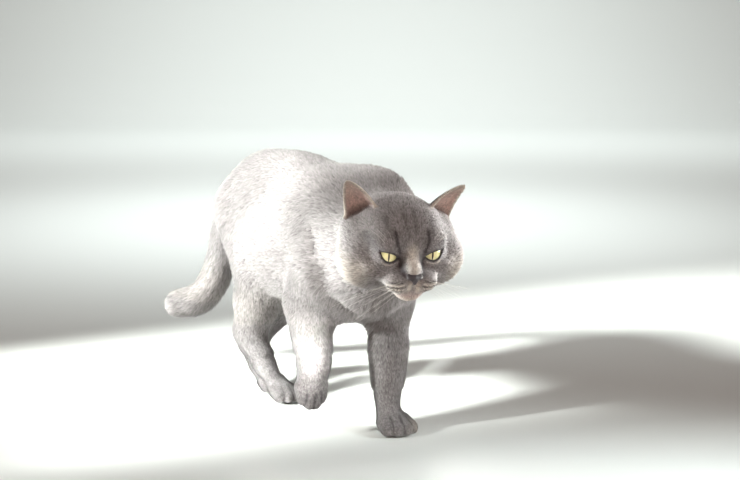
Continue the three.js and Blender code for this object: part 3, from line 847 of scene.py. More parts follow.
@dataclass(frozen=True)
class Coat:
    """How the coat lies at any point: which way, how long, how steep and how deep."""

    reach: float = 6.0
    ear_length: float = 2.2
    cup_length: float = 4.5

    def at(self, p: Array) -> dict[str, Array]:
        """Blends the nearest lines of the coat.

        Args:
            p: Points in the cat's frame, with x, y and z last.

        Returns:
            The direction, length, lift in degrees and depth at each point.
        """
        weight_sum = np.zeros(p.shape[:-1])
        flow = np.zeros(p.shape)
        values = np.zeros((*p.shape[:-1], 3))
        for lie in LIES:
            for a, b in lie.segments():
                weight = (along_segment(p, a, b)[0] + self.reach) ** -5.0
                weight_sum += weight
                flow += weight[..., None] * (b - a) / np.linalg.norm(b - a)
                values += weight[..., None] * np.array([lie.length, lie.lift, lie.depth])
        values /= weight_sum[..., None]
        return {"flow": unit(flow), "length": values[..., 0], "lift": values[..., 1], "depth": values[..., 2]}

    def dress(self, p: Array, normal: Array) -> dict[str, Array]:
        """Works out what each point of the skin needs to grow its hair.

        Args:
            p: The skin's points.
            normal: The skin's outward direction at each.

        Returns:
            The lie of the hair, its length and breadth, how many tufts grow there, and how bare it is.
        """
        lie = self.at(p)
        lie["density"] = 1.35 / (1 + 0.12 * lie["length"])
        for ear in EARS.values():
            self.over_ear(lie, ear, p)
        q = HEAD.local(p)
        for side in Side:
            self.round_eye(lie, side, q)
        density = lie["density"] * smooth_step(NoseLeather().field(q), 0.2, 1.2)
        density = density * (1 - smooth_step(mouth_line(q), 0.2, 0.6))
        bare = np.zeros(len(p))
        for paw in PAWS:
            bare = np.maximum(bare, smooth_step(-paw.pads(p), -0.9, 0.1))
        sole = smooth_step(-normal[:, 2], 0.5, 0.85) * smooth_step(-p[:, 2], -6.0, -2.0)
        return {
            "flow": lie["flow"],
            "hair": lie["length"] * MM,
            "lift": np.radians(lie["lift"]),
            "breadth": (0.30 + 0.035 * lie["length"]) * MM,
            "tufts": density * (1 - bare) * (1 - sole) / MM**2,
            "bare": bare,
        }

    def over_ear(self, lie: dict[str, Array], ear: Ear, p: Array) -> None:
        """Dresses an ear: close hair on its back, sparse hair in its cup, and a fringe at its rim.

        Args:
            lie: The lie of the coat and its density, which are changed in place.
            ear: The ear.
            p: The skin's points.
        """
        e = ear.pose.local(p)
        on = ear.on(p)
        rim = ear.rim(p) * on
        cup = ear.inner(p) * on * (1 - rim)
        up = ear.pose.turn[:, 2]
        inwards = -np.sign(e[:, :1]) * ear.pose.turn[:, 0]
        flow = lie["flow"] * (1 - on[:, None]) + on[:, None] * (up + 0.45 * rim[:, None] * inwards)
        lie["flow"] = unit(flow)
        length = lie["length"] + on * (self.ear_length - lie["length"])
        length = length + cup * (self.cup_length - length)
        lie["length"] = length - 0.9 * rim * smooth_step(e[:, 2], 4, 12)
        lie["lift"] = lie["lift"] + on * (7 - lie["lift"]) + cup * 12
        lie["density"] = (lie["density"] + on * (1.5 - lie["density"])) * (1 - 0.80 * cup)

    def round_eye(self, lie: dict[str, Array], side: Side, q: Array) -> None:
        """Lays the hair away from an eye, shorter and closer, and clears it from the opening.

        Args:
            lie: The lie of the coat and its density, which are changed in place.
            side: Which eye.
            q: The skin's points in the head's frame.
        """
        gap = np.maximum(OPENING.gap(q, side), 0)
        in_front = smooth_step(-q[:, 1], 22, 30)
        near = smooth_step(-gap, -9, -1) * in_front
        away = q - np.array(eye_place(side))
        socket = (np.linalg.norm(away, axis=1) < EYE_RADIUS + 0.9) & (q[:, 1] < -28)
        away[:, 1] = 0
        lie["flow"] = unit(lie["flow"] + 2.2 * near[:, None] * (unit(away) @ HEAD.turn.T))
        lie["length"] = lie["length"] * (1 - 0.45 * near)
        lie["lift"] = lie["lift"] * (1 - 0.5 * near)
        lie["density"] = np.where(socket | ((gap < 0.9) & (in_front > 0.5)), 0, lie["density"])


def mouth_line(q: Array) -> Array:
    """Gives 1 on the line between the lips and down from the nose, and 0 away from it.

    Args:
        q: Points in the head's frame.

    Returns:
        One share for each point.
    """
    lips = near_line(q, LIP_LINE, 0.9)
    for side in Side:
        lips = np.maximum(lips, near_line(q, mirrored(MOUTH_CORNERS, side), 1.1))
    return lips


@dataclass(frozen=True)
class Markings:
    """The faint marks of a plain blue coat, with painted shade in creases and hollows and painted light on
    the cheeks and ears, as shares of dark, pale and pink at each point.

    A stroke is its strength, its points across and up one half of the face, and its width.
    """

    dark_strokes: tuple[Stroke, ...] = (
        (0.85, ((13.0, 8), (15.0, 16), (15.5, 25)), 2.0),  # up the brow from the eye
        (0.30, ((4, 26), (5, 38)), 2.0),
        (0.30, ((20, 24), (23, 36)), 3.0),
        # painted shade: the next stroke darkens the crease down beside the nose, and the one after it the
        # ear's shadow before the ear
        (0.95, ((13.2, 3.0), (10.8, -1), (9.2, -10)), 2.9),  # down beside the nose
        (0.45, ((36, 14), (42, 22)), 6.0),  # before the ear
        (0.75, ((11, -16.6), (21, -17.8)), 1.15),  # the rows of whisker roots
        (0.75, ((8.5, -20.8), (25, -22.6)), 1.15),
        (0.75, ((11, -25.0), (20, -26.2)), 1.15),
    )
    pale_strokes: tuple[Stroke, ...] = (
        (0.42, ((6, -22), (16, -22)), 6.0),  # the whisker pad, and between its rows
        (0.60, ((10, -18.9), (24, -20.4)), 0.9),
        (0.60, ((10, -23.0), (23, -24.4)), 0.9),
        (0.45, ((9, -27.4), (17, -28.0)), 0.9),
        (0.50, ((3, -19), (4, -24)), 2.6),  # beside the philtrum
        (0.75, ((0, -37), (10, -36)), 4.5),  # the chin
    )
    pink_strokes: tuple[Stroke, ...] = ((0.34, ((0, -31), (8, -31.5)), 3.6),)  # the lower lip
    band_mm: float = 7.0

    def drawn(self, q: Array, points: tuple[tuple[float, float], ...], width: float) -> Array:
        """Gives 1 on a line drawn on the face from the front, on both of its halves.

        Args:
            q: Points in the head's frame.
            points: The line's places across and up.
            width: Its width.

        Returns:
            One share for each point.
        """
        flat = np.stack([np.abs(q[:, 0]), np.zeros(len(q)), q[:, 2]], axis=1)
        line = near_line(flat, [(x, 0, z) for x, z in points], width)
        return line * smooth_step(-q[:, 1], 8, 22)

    def strokes(self, q: Array, strokes: tuple[Stroke, ...]) -> Array:
        """Adds up a set of strokes."""
        return sum(strength * self.drawn(q, points, width) for strength, points, width in strokes)

    def bands(self, p: Array) -> Array:
        """Gives faint dark level bands down the front of the forelegs: painted shade in the creases where the
        plush parts.

        Args:
            p: Points of the skin.

        Returns:
            One share for each point.
        """
        heights = smooth_step(-p[:, 2], -128, -105) * smooth_step(p[:, 2], 26, 44)
        front = smooth_step(-p[:, 1], 100, 122) * heights
        wave = np.sin(2 * np.pi * (p[:, 2] + 2.2 * np.sin(p[:, 0] / 5.0)) / self.band_mm)
        return front * smooth_step(wave, -0.2, 0.9)

    def at(self, p: Array) -> dict[str, Array]:
        """Works out the marks.

        Args:
            p: Points of the skin.

        Returns:
            The shares of dark, pale and pink, from 0 to 1.
        """
        q = HEAD.local(p)
        out = np.abs(q[:, 0])
        bridge = 0.72 * self.drawn(q, ((0, 8), (0, -4)), 6.5) * smooth_step(8.0 - out, 0, 3)
        # paler outer cheeks: partly the coat's own paler cheeks, partly a painted highlight of sunlit cheek
        # fur
        cheeks = 0.60 * smooth_step(out, 28, 50) * smooth_step(-q[:, 2], -6, 16) * (q[:, 1] < 30)
        dark = self.strokes(q, self.dark_strokes)
        pale = bridge + self.strokes(q, self.pale_strokes) + cheeks
        pink = self.strokes(q, self.pink_strokes)
        for side in Side:
            gap = OPENING.gap(q, side)
            near = smooth_step(-q[:, 1], 18, 26)
            dark = np.maximum(dark, near * smooth_step(-gap, -2.0, -0.7))
            below = smooth_step(-(q[:, 2] - 2), 0, 4)
            pale = pale + 0.75 * near * below * np.exp(-(((gap - 3.0) / 0.9) ** 2))
        for ear in EARS.values():
            t = ear.leaf(p).share
            rim = ear.rim(p) * ear.on(p)
            inner = ear.inner(p) * ear.on(p)
            cup = inner * (1 - rim)
            # the cup's pink is the ear's own; the pale rim and the pale cup towards the tip are painted
            # light, the ear lit from behind and shining through, and the dark base of the cup is painted
            # shade
            pink = np.maximum(pink, 0.75 * cup * (1 - 0.55 * smooth_step(t, 0.45, 0.95)))
            pale = np.maximum(pale, np.maximum(0.9 * rim, 0.8 * inner * smooth_step(t, 0.3, 0.9)))
            dark = np.maximum(dark, 0.85 * cup * smooth_step(-t, -0.36, -0.08))
        dark = np.maximum(dark, mouth_line(q))
        # painted shade in the grooves between the toes
        for paw in PAWS:
            dark = np.maximum(dark, 0.7 * paw.grooves(p))
        # painted shade in the creases of the forelegs' plush
        dark = dark + 0.20 * self.bands(p)
        belly = smooth_step(-p[:, 2], -150, -120) * smooth_step(p[:, 1], -120, -60)
        pale = pale + 0.12 * belly * (p[:, 2] > 90)
        return {name: np.clip(v, 0, 1) for name, v in (("dark", dark), ("pale", pale), ("pink", pink))}


COAT = Coat()


# ---------------------------------------------------------------- grids


def crossings(lines: list[Array]) -> Array:
    """Gives the points where three sets of grid lines cross, with x, y and z last."""
    return np.stack(np.meshgrid(*lines, indexing="ij"), axis=-1)


def graded_lines(low: float, high: float, coarse: float, fine: float, zone: tuple[float, float]) -> Array:
    """Spaces grid lines closely inside a zone and further apart away from it.

    Args:
        low: Where the lines start.
        high: Where they end.
        coarse: The widest spacing.
        fine: The spacing inside the zone.
        zone: Where the fine spacing holds.

    Returns:
        The lines' places, rising.
    """
    lines = [low]
    while lines[-1] < high:
        here = lines[-1]
        away = max(zone[0] - here, here - zone[1], 0)
        lines.append(here + min(coarse, fine + 0.06 * away))
    return np.array(lines)


def resample(volume: Array, start: Array, cell: float, lines: list[Array]) -> Array:
    """Reads an even grid of values at the crossings of three sets of lines.

    Args:
        volume: The even grid of values.
        start: Its first corner.
        cell: Its spacing.
        lines: The places of the lines along each axis.

    Returns:
        One value for each crossing.
    """
    for axis in range(3):
        place = np.clip((lines[axis] - start[axis]) / cell, 0, volume.shape[axis] - 1.001)
        lower = place.astype(int)
        share = (place - lower).reshape([-1 if k == axis else 1 for k in range(3)])
        volume = np.take(volume, lower, axis) * (1 - share) + np.take(volume, lower + 1, axis) * share
    return volume


def blurred(volume: Array, sigma: float) -> Array:
    """Softens a grid of values with a bell curve.

    Args:
        volume: The grid of values.
        sigma: The bell curve's spread, in cells.

    Returns:
        The softened grid.
    """
    reach = int(math.ceil(2.5 * sigma))
    steps = np.arange(-reach, reach + 1)
    bell = np.exp(-0.5 * (steps / sigma) ** 2)
    bell /= bell.sum()
    for axis in range(3):
        padded = np.pad(volume, [(reach, reach) if k == axis else (0, 0) for k in range(3)], mode="edge")
        total = np.zeros_like(volume)
        for step, share in zip(range(2 * reach + 1), bell):
            window = [slice(None)] * 3
            window[axis] = slice(step, step + volume.shape[axis])
            total += np.float32(share) * padded[tuple(window)]
        volume = total
    return volume


def surface(values: Array, lines: list[Array]) -> tuple[Array, Array]:
    """Finds the surface where a grid of values is zero.

    Args:
        values: One value for each crossing of the lines, below zero inside.
        lines: The places of the grid's lines along each axis.

    Returns:
        The surface's points and its four-cornered faces, which point outwards.
    """
    band = 8.0  # further than this from the surface, values don't matter
    grid = openvdb.FloatGrid(band)
    grid.copyFromArray(np.clip(values, -band, band).astype(np.float32))
    points, quads = grid.convertToQuads(0.0)
    for axis in range(3):
        points[:, axis] = np.interp(points[:, axis], np.arange(len(lines[axis])), lines[axis])
    corners = points[quads]
    centre_normals = np.cross(corners[:, 2] - corners[:, 0], corners[:, 3] - corners[:, 1])
    volume = float((corners.mean(1) * centre_normals).sum())
    return points, (quads if volume > 0 else quads[:, ::-1])


# ---------------------------------------------------------------- the skin


@dataclass
class Skin:
    """The one skin of the cat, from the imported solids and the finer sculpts."""

    solid_cell: float = 2.0
    solid_reach: float = 7.0
    coat_cell: float = 7.0
    closing: float = 1.0
    body_soften: float = 5.2
    foot_soften: float = 4.6
    margin: float = 10.0
    most_triangles: int = 196000
    left_out: tuple[str, ...] = ("eye_left", "eye_right", "nose", "ear_left", "ear_right")
    behind_face: float = 2.5
    head_blend: float = 5.0
    ear_blend: float = 3.5
    under_paw: float = 1.6
    paw_blend: float = 3.0
    pad_blend: float = 0.8
    sole_round: float = 0.8

    def solid_triangles(self) -> tuple[Array, Array]:
        """Gathers the triangles of every flesh solid that the skin follows.

        Returns:
            The points in millimetres, and the triangles.
        """
        points, triangles, count = [], [], 0
        for name, node in frame["nodes"].items():
            if name in self.left_out:
                continue
            mesh = node.data
            mesh.calc_loop_triangles()
            co = np.empty(len(mesh.vertices) * 3, np.float32)
            mesh.vertices.foreach_get("co", co)
            corner = np.empty(len(mesh.loop_triangles) * 3, np.int32)
            mesh.loop_triangles.foreach_get("vertices", corner)
            points.append(co.reshape(-1, 3) / MM)
            triangles.append(corner.reshape(-1, 3) + count)
            count += len(mesh.vertices)
        return np.concatenate(points), np.concatenate(triangles)

    def solid_field(self) -> tuple[Array, Array]:
        """Closes the thin cuts between the solids and softens their facets.

        Returns:
            An even grid of distances, and its first corner.
        """
        points, triangles = self.solid_triangles()
        transform = openvdb.createLinearTransform(voxelSize=self.solid_cell)
        first = openvdb.FloatGrid.createLevelSetFromPolygons(
            points, triangles=triangles, transform=transform, halfWidth=3.0
        )
        outer, quads = first.convertToQuads(self.closing)
        grown = openvdb.FloatGrid.createLevelSetFromPolygons(
            outer, quads=quads, transform=transform, halfWidth=self.solid_reach
        )
        low = np.floor((points.min(0) - self.margin) / self.solid_cell).astype(int)
        high = np.ceil((points.max(0) + self.margin) / self.solid_cell).astype(int)
        values = np.empty(tuple(high - low + 1), np.float32)
        grown.copyToArray(values, ijk=tuple(int(v) for v in low))
        values += np.float32(self.closing)
        body = self.softened(values, self.body_soften)
        feet = self.softened(values, self.foot_soften)
        height = (low[2] + np.arange(values.shape[2])) * self.solid_cell
        share = smooth_step(height, 30.0, 70.0).astype(np.float32)
        return feet + (body - feet) * share, low * self.solid_cell

    def softened(self, values: Array, reach: float) -> Array:
        """Rounds the facets of a grid of distances without making round limbs thinner."""
        once = blurred(values, reach / self.solid_cell)
        return 2 * once - blurred(once, reach / self.solid_cell)

    def lines(self) -> list[Array]:
        """Spaces the grid's lines, closest at the face.

        Returns:
            The places of the lines along each axis.
        """
        low, high = (np.array(corner) / MM for corner in CAD_BOX)
        low = low - 3
        high = high + 3
        eyes = HEAD.world(np.array([eye_place(side) for side in Side]))
        mid = eyes.mean(0)
        return [
            graded_lines(low[0], high[0], 2.2, 1.15, (mid[0] - 55, mid[0] + 55)),
            graded_lines(low[1], high[1], 3.2, 1.15, (low[1], mid[1] + 48)),
            graded_lines(low[2], high[2], 2.4, 1.15, (mid[2] - 38, mid[2] + 66)),
        ]

    def window(self, lines: list[Array], low: Array, high: Array) -> tuple[slice, ...]:
        """Gives the part of the grid that holds a box.

        Args:
            lines: The grid's lines.
            low: The box's lowest corner.
            high: Its highest corner.

        Returns:
            The range of lines along each axis.
        """
        return tuple(
            slice(max(int(np.searchsorted(line, a)) - 1, 0), int(np.searchsorted(line, b)) + 1)
            for line, a, b in zip(lines, low, high)
        )

    def field(self) -> tuple[Array, list[Array]]:
        """Joins the softened solids, the head, the ears and the paws on the grid.

        Returns:
            One distance for each crossing of the grid's lines, and the lines.
        """
        lines = self.lines()
        solid, start = self.solid_field()
        low = np.array([line[0] for line in lines])
        high = np.array([line[-1] for line in lines])
        counts = np.ceil((high - low) / self.coat_cell).astype(int) + 2
        coarse = crossings([low[k] + self.coat_cell * np.arange(counts[k]) for k in range(3)])
        depth = resample(COAT.at(coarse)["depth"], low, self.coat_cell, lines).astype(np.float32)
        total = resample(solid, start, self.solid_cell, lines) + depth
        self.add_head(total, depth, lines)
        for paw in PAWS:
            self.add_paw(total, depth, lines, paw)
        floor = FLOOR_GAP - lines[2]
        return smooth_max(total, np.broadcast_to(floor, total.shape), self.sole_round), lines

    def add_head(self, total: Array, depth: Array, lines: list[Array]) -> None:
        """Joins the sculpt of the head and the ears to the field, in place.

        Args:
            total: The field.
            depth: The coat's depth at each of its points.
            lines: The grid's lines.
        """
        part = self.window(lines, HEAD.origin - 85, HEAD.origin + 85)
        p = crossings([line[within] for line, within in zip(lines, part)])
        q = HEAD.local(p)
        behind = self.behind_face * smooth_step(-q[..., 1], -34, -8)
        joined = smooth_min(total[part] + behind, HeadSculpt().skin(q, depth[part]), self.head_blend)
        for side in Side:
            joined = OPENING.cut(joined, q, side)
            joined = smooth_min(joined, EARS[side].field(p), self.ear_blend)
        total[part] = joined

    def add_paw(self, total: Array, depth: Array, lines: list[Array], paw: Paw) -> None:
        """Joins the sculpt of a paw and its pads to the field, in place.

        Args:
            total: The field.
            depth: The coat's depth at each of its points.
            lines: The grid's lines.
            paw: The paw.
        """
        low, high = (np.array(corner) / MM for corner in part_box(paw.node))
        part = self.window(lines, low - 12, high + 12)
        p = crossings([line[within] for line, within in zip(lines, part)])
        shape = smooth_min(total[part] + self.under_paw, paw.field(p) + depth[part], self.paw_blend)
        total[part] = smooth_min(shape, paw.pads(p), self.pad_blend)

    def build(self) -> bpy.types.Object:
        """Makes the skin's mesh, thins it, and gives it what its hair, marks and painted light need.

        Returns:
            The skin, with a map of its own shape called unwrap.
        """
        values, lines = self.field()
        points, quads = surface(values, lines)
        piece = new_mesh_object("skin", points, quads)
        thin = piece.modifiers.new("thin", "DECIMATE")
        thin.ratio = min(1.0, self.most_triangles / (2 * len(quads)))
        graph = bpy.context.evaluated_depsgraph_get()
        mesh = bpy.data.meshes.new_from_object(piece.evaluated_get(graph))
        piece.modifiers.clear()
        piece.data = mesh
        mesh.shade_smooth()
        self.unwrap(piece)
        co, normal = read_points(mesh)
        for name, numbers in {**COAT.dress(co, normal), **Markings().at(co)}.items():
            put_attribute(mesh, name, numbers)
        put_attribute(mesh, "outward", normal)
        return piece

    def unwrap(self, piece: bpy.types.Object) -> None:
        """Unwraps the skin's own shape into a map called unwrap.

        Args:
            piece: The skin.
        """
        bpy.context.view_layer.objects.active = piece
        piece.select_set(True)
        bpy.ops.object.mode_set(mode="EDIT")
        bpy.ops.mesh.select_all(action="SELECT")
        bpy.ops.uv.smart_project(angle_limit=math.radians(66), island_margin=0.001, margin_method="ADD")
        bpy.ops.object.mode_set(mode="OBJECT")
        piece.data.uv_layers.active.name = "unwrap"


def read_points(mesh: bpy.types.Mesh) -> tuple[Array, Array]:
    """Reads a mesh's points, in millimetres, and the outward direction at each.

    Args:
        mesh: The mesh.

    Returns:
        The points and the directions.
    """
    co = np.empty(len(mesh.vertices) * 3, np.float32)
    mesh.vertices.foreach_get("co", co)
    normal = np.empty(len(mesh.vertices) * 3, np.float32)
    mesh.vertex_normals.foreach_get("vector", normal)
    return co.reshape(-1, 3).astype(float) / MM, normal.reshape(-1, 3).astype(float)


# ---------------------------------------------------------------- the tufts


@dataclass
class Tufts:
    """Small flat locks of three blades each, which overlap along the lie of the coat."""

    pieces: int = 8
    per_piece: int = 21600
    patch: float = 0.003
    map_margin: float = 0.002
    swing: float = 0.30
    roundness: float = 0.45
    first_seed: int = 101
    seed_step: int = 37
    blade_points: int = 5  # two at the base, two half way up and one at the tip
    blades: tuple[tuple[Point, ...], ...] = (
        ((-0.9, 0.0, 1.0), (0.1, 0.25, 0.88), (0.95, -0.1, 0.94)),
        ((-0.8, 0.2, 0.86), (0.0, 0.0, 1.0), (0.9, 0.3, 0.8)),
        ((-1.0, -0.1, 0.92), (0.25, 0.3, 1.0), (0.8, 0.0, 0.84)),
        ((-0.7, 0.1, 1.0), (0.35, -0.2, 0.78), (1.0, 0.2, 0.97)),
    )

    def prototypes(self) -> bpy.types.Collection:
        """Makes the kinds of tuft: one unit long up Z, curving down towards -Y at the tip.

        Returns:
            A collection with one mesh of each kind.
        """
        kinds = bpy.data.collections.new("tufts")
        for number, kind in enumerate(self.blades):
            points, faces, along, flat = [], [], [], []
            for shift, bow, reach in kind:
                start = len(points)
                for step, half in ((0.0, 0.45), (0.5, 0.5), (1.0, 0.0)):
                    z = step * reach
                    y = 0.05 * bow + 0.30 * z * (1 - z) - 0.03 * z
                    x = shift * (1 - 0.35 * step) + 0.15 * bow * step
                    for sign in (-1, 1) if half else (0,):
                        points.append((x + sign * half, y, z))
                        along.append(step)
                        flat.append((0.5 + 0.3 * (x + sign * half), 0.02 + 0.96 * z))
                a, b, c, d, tip = range(start, start + 5)
                faces += [(a, c, b), (b, c, d), (c, tip, d)]
            mesh = bpy.data.meshes.new(f"tuft_{number}")
            mesh.from_pydata(points, [], faces)
            layer = mesh.uv_layers.new(name="leaf")
            for loop in mesh.loops:
                layer.data[loop.index].uv = flat[loop.vertex_index]
            put_attribute(mesh, "along", np.array(along))
            kinds.objects.link(bpy.data.objects.new(f"tuft_{number}", mesh))
        return kinds

    def tree(self) -> bpy.types.NodeTree:
        """Builds the nodes that plant tufts on the skin.

        Returns:
            A tree with inputs for the share of the tufts, the seed, the kinds and the fur.
        """
        tree = bpy.data.node_groups.new("plant tufts", "GeometryNodeTree")
        for name, way, kind in (
            ("Skin", "INPUT", "Geometry"),
            ("Share", "INPUT", "Float"),
            ("Seed", "INPUT", "Int"),
            ("Kinds", "INPUT", "Collection"),
            ("Fur", "INPUT", "Material"),
            ("Coat", "OUTPUT", "Geometry"),
        ):
            tree.interface.new_socket(name=name, in_out=way, socket_type=f"NodeSocket{kind}")
        inlet = add_node(tree, "NodeGroupInput").outputs
        read = {
            name: add_node(tree, "GeometryNodeInputNamedAttribute", {"Name": name}, data_type=kind).outputs[0]
            for name, kind in (
                ("tufts", "FLOAT"),
                ("flow", "FLOAT_VECTOR"),
                ("outward", "FLOAT_VECTOR"),
                ("lift", "FLOAT"),
                ("hair", "FLOAT"),
                ("breadth", "FLOAT"),
                ("unwrap", "FLOAT_VECTOR"),
                ("leaf", "FLOAT_VECTOR"),
            )
        }
        seeds = {
            offset: add_node(tree, MATH, {0: inlet["Seed"], 1: float(offset)}, operation="ADD")
            for offset in (11, 12, 13, 15)
        }
        chance = {
            name: add_node(
                tree,
                "FunctionNodeRandomValue",
                {2: low, 3: high, 8: seeds[offset]},
                data_type="FLOAT",
            ).outputs[1]
            for name, low, high, offset in (
                ("swing", -self.swing, self.swing, 11),
                ("lift", -0.10, 0.14, 12),
                ("length", 0.78, 1.12, 13),
                ("tone", 0.0, 1.0, 15),
            )
        }

        density = add_node(tree, MATH, {0: read["tufts"], 1: inlet["Share"]}, operation="MULTIPLY")
        spread = add_node(
            tree,
            "GeometryNodeDistributePointsOnFaces",
            {"Mesh": inlet["Skin"], "Density": density, "Seed": inlet["Seed"]},
        ).outputs["Points"]

        # the way the hair runs, kept level with the skin, swung a little and then lifted
        out = read["outward"]
        flow = read["flow"]
        rise = add_node(tree, VECTOR_MATH, {0: flow, 1: out}, operation="DOT_PRODUCT").outputs["Value"]
        above = add_node(tree, VECTOR_MATH, {0: out, "Scale": rise}, operation="SCALE")
        level = add_node(tree, VECTOR_MATH, {0: flow, 1: above}, operation="SUBTRACT")
        tangent = add_node(tree, VECTOR_MATH, {0: level}, operation="NORMALIZE")
        swung = add_node(
            tree, "ShaderNodeVectorRotate", {"Vector": tangent, "Axis": out, "Angle": chance["swing"]}
        )
        lift = add_node(tree, MATH, {0: read["lift"], 1: chance["lift"]}, operation="ADD")
        cosine = add_node(tree, MATH, {0: lift}, operation="COSINE")
        sine = add_node(tree, MATH, {0: lift}, operation="SINE")
        ahead = add_node(tree, VECTOR_MATH, {0: swung, "Scale": cosine}, operation="SCALE")
        up = add_node(tree, VECTOR_MATH, {0: out, "Scale": sine}, operation="SCALE")
        blade = add_node(tree, VECTOR_MATH, {0: ahead, 1: up}, operation="ADD")
        rotation = add_node(
            tree,
            "FunctionNodeAxesToRotation",
            {"Primary Axis": blade, "Secondary Axis": out},
            primary_axis="Z",
            secondary_axis="Y",
        )
        length = add_node(tree, MATH, {0: read["hair"], 1: chance["length"]}, operation="MULTIPLY")
        size = add_node(tree, "ShaderNodeCombineXYZ", {0: read["breadth"], 1: length, 2: length})

        # a tuft of any kind on each point, each with a tone of its own
        kinds = add_node(
            tree,
            "GeometryNodeCollectionInfo",
            {"Collection": inlet["Kinds"], "Separate Children": True, "Reset Children": True},
        )
        which = add_node(
            tree, "FunctionNodeRandomValue", {4: 0, 5: len(self.blades) - 1, 8: 14}, data_type="INT"
        ).outputs[2]
        toned = add_node(
            tree,
            "GeometryNodeStoreNamedAttribute",
            {"Geometry": spread, "Name": "tone", "Value": chance["tone"]},
            data_type="FLOAT",
        )
        planted = add_node(
            tree,
            "GeometryNodeInstanceOnPoints",
            {
                "Points": toned,
                "Instance": kinds,
                "Pick Instance": True,
                "Instance Index": which,
                "Rotation": rotation,
                "Scale": size,
            },
        )
        joined = add_node(tree, "GeometryNodeRealizeInstances", {0: planted})

        # each tuft's patch of the map, about its root's place on the skin's own map
        low, high = self.map_margin, 1 - self.map_margin
        below = add_node(tree, VECTOR_MATH, {0: read["unwrap"], 1: (high, high, 0.0)}, operation="MINIMUM")
        root = add_node(tree, VECTOR_MATH, {0: below, 1: (low, low, 0.0)}, operation="MAXIMUM")
        middle = add_node(tree, VECTOR_MATH, {0: read["leaf"], 1: (0.5, 0.5, 0.0)}, operation="SUBTRACT")
        offset = add_node(tree, VECTOR_MATH, {0: middle, "Scale": self.patch}, operation="SCALE")
        place = add_node(tree, VECTOR_MATH, {0: root, 1: offset}, operation="ADD")
        mapped = add_node(
            tree,
            "GeometryNodeStoreNamedAttribute",
            {"Geometry": joined, "Name": "OFBake", "Value": place},
            data_type="FLOAT2",
            domain="CORNER",
        )

        # the tufts take most of their shading from the skin's shape, as a plush coat does
        own = add_node(tree, "GeometryNodeInputNormal").outputs[0]
        part = add_node(tree, VECTOR_MATH, {0: own, "Scale": self.roundness}, operation="SCALE")
        leaning = add_node(tree, VECTOR_MATH, {0: part, 1: out}, operation="ADD")
        soft = add_node(tree, VECTOR_MATH, {0: leaning}, operation="NORMALIZE")
        smooth = add_node(tree, "GeometryNodeSetMeshNormal", {"Mesh": mapped}, mode="FREE", domain="POINT")
        tree.links.new(soft.outputs[0], smooth.inputs["Custom Normal"])
        dressed = add_node(tree, "GeometryNodeSetMaterial", {"Geometry": smooth, "Material": inlet["Fur"]})
        add_node(tree, "NodeGroupOutput", {"Coat": dressed})
        return tree

    def wanted(self, mesh: bpy.types.Mesh) -> float:
        """Counts the tufts that the skin asks for.

        Args:
            mesh: The skin's mesh, with tufts as its number of tufts to a square metre.

        Returns:
            The number over the whole skin.
        """
        area = np.empty(len(mesh.polygons), np.float32)
        mesh.polygons.foreach_get("area", area)
        tufts = np.empty(len(mesh.vertices), np.float32)
        mesh.attributes["tufts"].data.foreach_get("value", tufts)
        first = np.empty(len(mesh.polygons), np.int32)
        mesh.polygons.foreach_get("loop_start", first)
        corner = np.empty(len(mesh.loops), np.int32)
        mesh.loops.foreach_get("vertex_index", corner)
        return float((area * tufts[corner[first]]).sum())

    def build(self, skin: bpy.types.Object, fur: bpy.types.Material) -> list[bpy.types.Object]:
        """Plants the tufts, a share of them over the whole skin in each piece.

        Args:
            skin: The skin with its attributes.
            fur: The tufts' material.

        Returns:
            The pieces of the coat.
        """
        mesh = skin.data
        share = self.per_piece / self.wanted(mesh)
        tree, kinds = self.tree(), self.prototypes()
        sockets = {item.name: item.identifier for item in tree.interface.items_tree}
        made = []
        for number in range(self.pieces):
            grower = bpy.data.objects.new("grower", mesh)
            bpy.context.scene.collection.objects.link(grower)
            plant = grower.modifiers.new("plant", "NODES")
            plant.node_group = tree
            plant[sockets["Share"]] = share
            plant[sockets["Seed"]] = self.first_seed + self.seed_step * number
            plant[sockets["Kinds"]] = kinds
            plant[sockets["Fur"]] = fur
            graph = bpy.context.evaluated_depsgraph_get()
            coat = bpy.data.meshes.new_from_object(grower.evaluated_get(graph))
            bpy.data.objects.remove(grower)
            self.tidy(coat)
            self.mark(coat)
            coat.name = f"coat_{number + 1}"
            piece = bpy.data.objects.new(coat.name, coat)
            bpy.context.scene.collection.objects.link(piece)
            made.append(piece)
        for kind in list(kinds.objects):
            bpy.data.objects.remove(kind)
        bpy.data.collections.remove(kinds)
        return made

    def tidy(self, coat: bpy.types.Mesh) -> None:
        """Keeps the hair off the floor, and drops what only planting needed.

        Args:
            coat: A piece of the coat.
        """
        co = np.empty(len(coat.vertices) * 3, np.float32)
        coat.vertices.foreach_get("co", co)
        co = co.reshape(-1, 3)
        co[:, 2] = np.maximum(co[:, 2], FLOOR_GAP * MM)
        coat.vertices.foreach_set("co", co.ravel())
        for name in ("flow", "outward", "lift", "hair", "breadth", "tufts", "unwrap", "leaf"):
            if name in coat.attributes:
                coat.attributes.remove(coat.attributes[name])
        coat.update()

    def mark(self, coat: bpy.types.Mesh) -> None:
        """Gives every tuft the marks and painted light of the place where its root stands.

        Args:
            coat: A piece of the coat, whose tufts follow one another point by point.
        """
        co, _ = read_points(coat)
        per_tuft = len(self.blades[0]) * self.blade_points
        blades = co.reshape(-1, len(self.blades[0]), self.blade_points, 3)
        roots = blades[:, :, :2].reshape(len(blades), -1, 3).mean(axis=1)
        for name, numbers in Markings().at(roots).items():
            if name in coat.attributes:
                coat.attributes.remove(coat.attributes[name])
            put_attribute(coat, name, np.repeat(numbers, per_tuft))


# ---------------------------------------------------------------- eyes, nose and whiskers


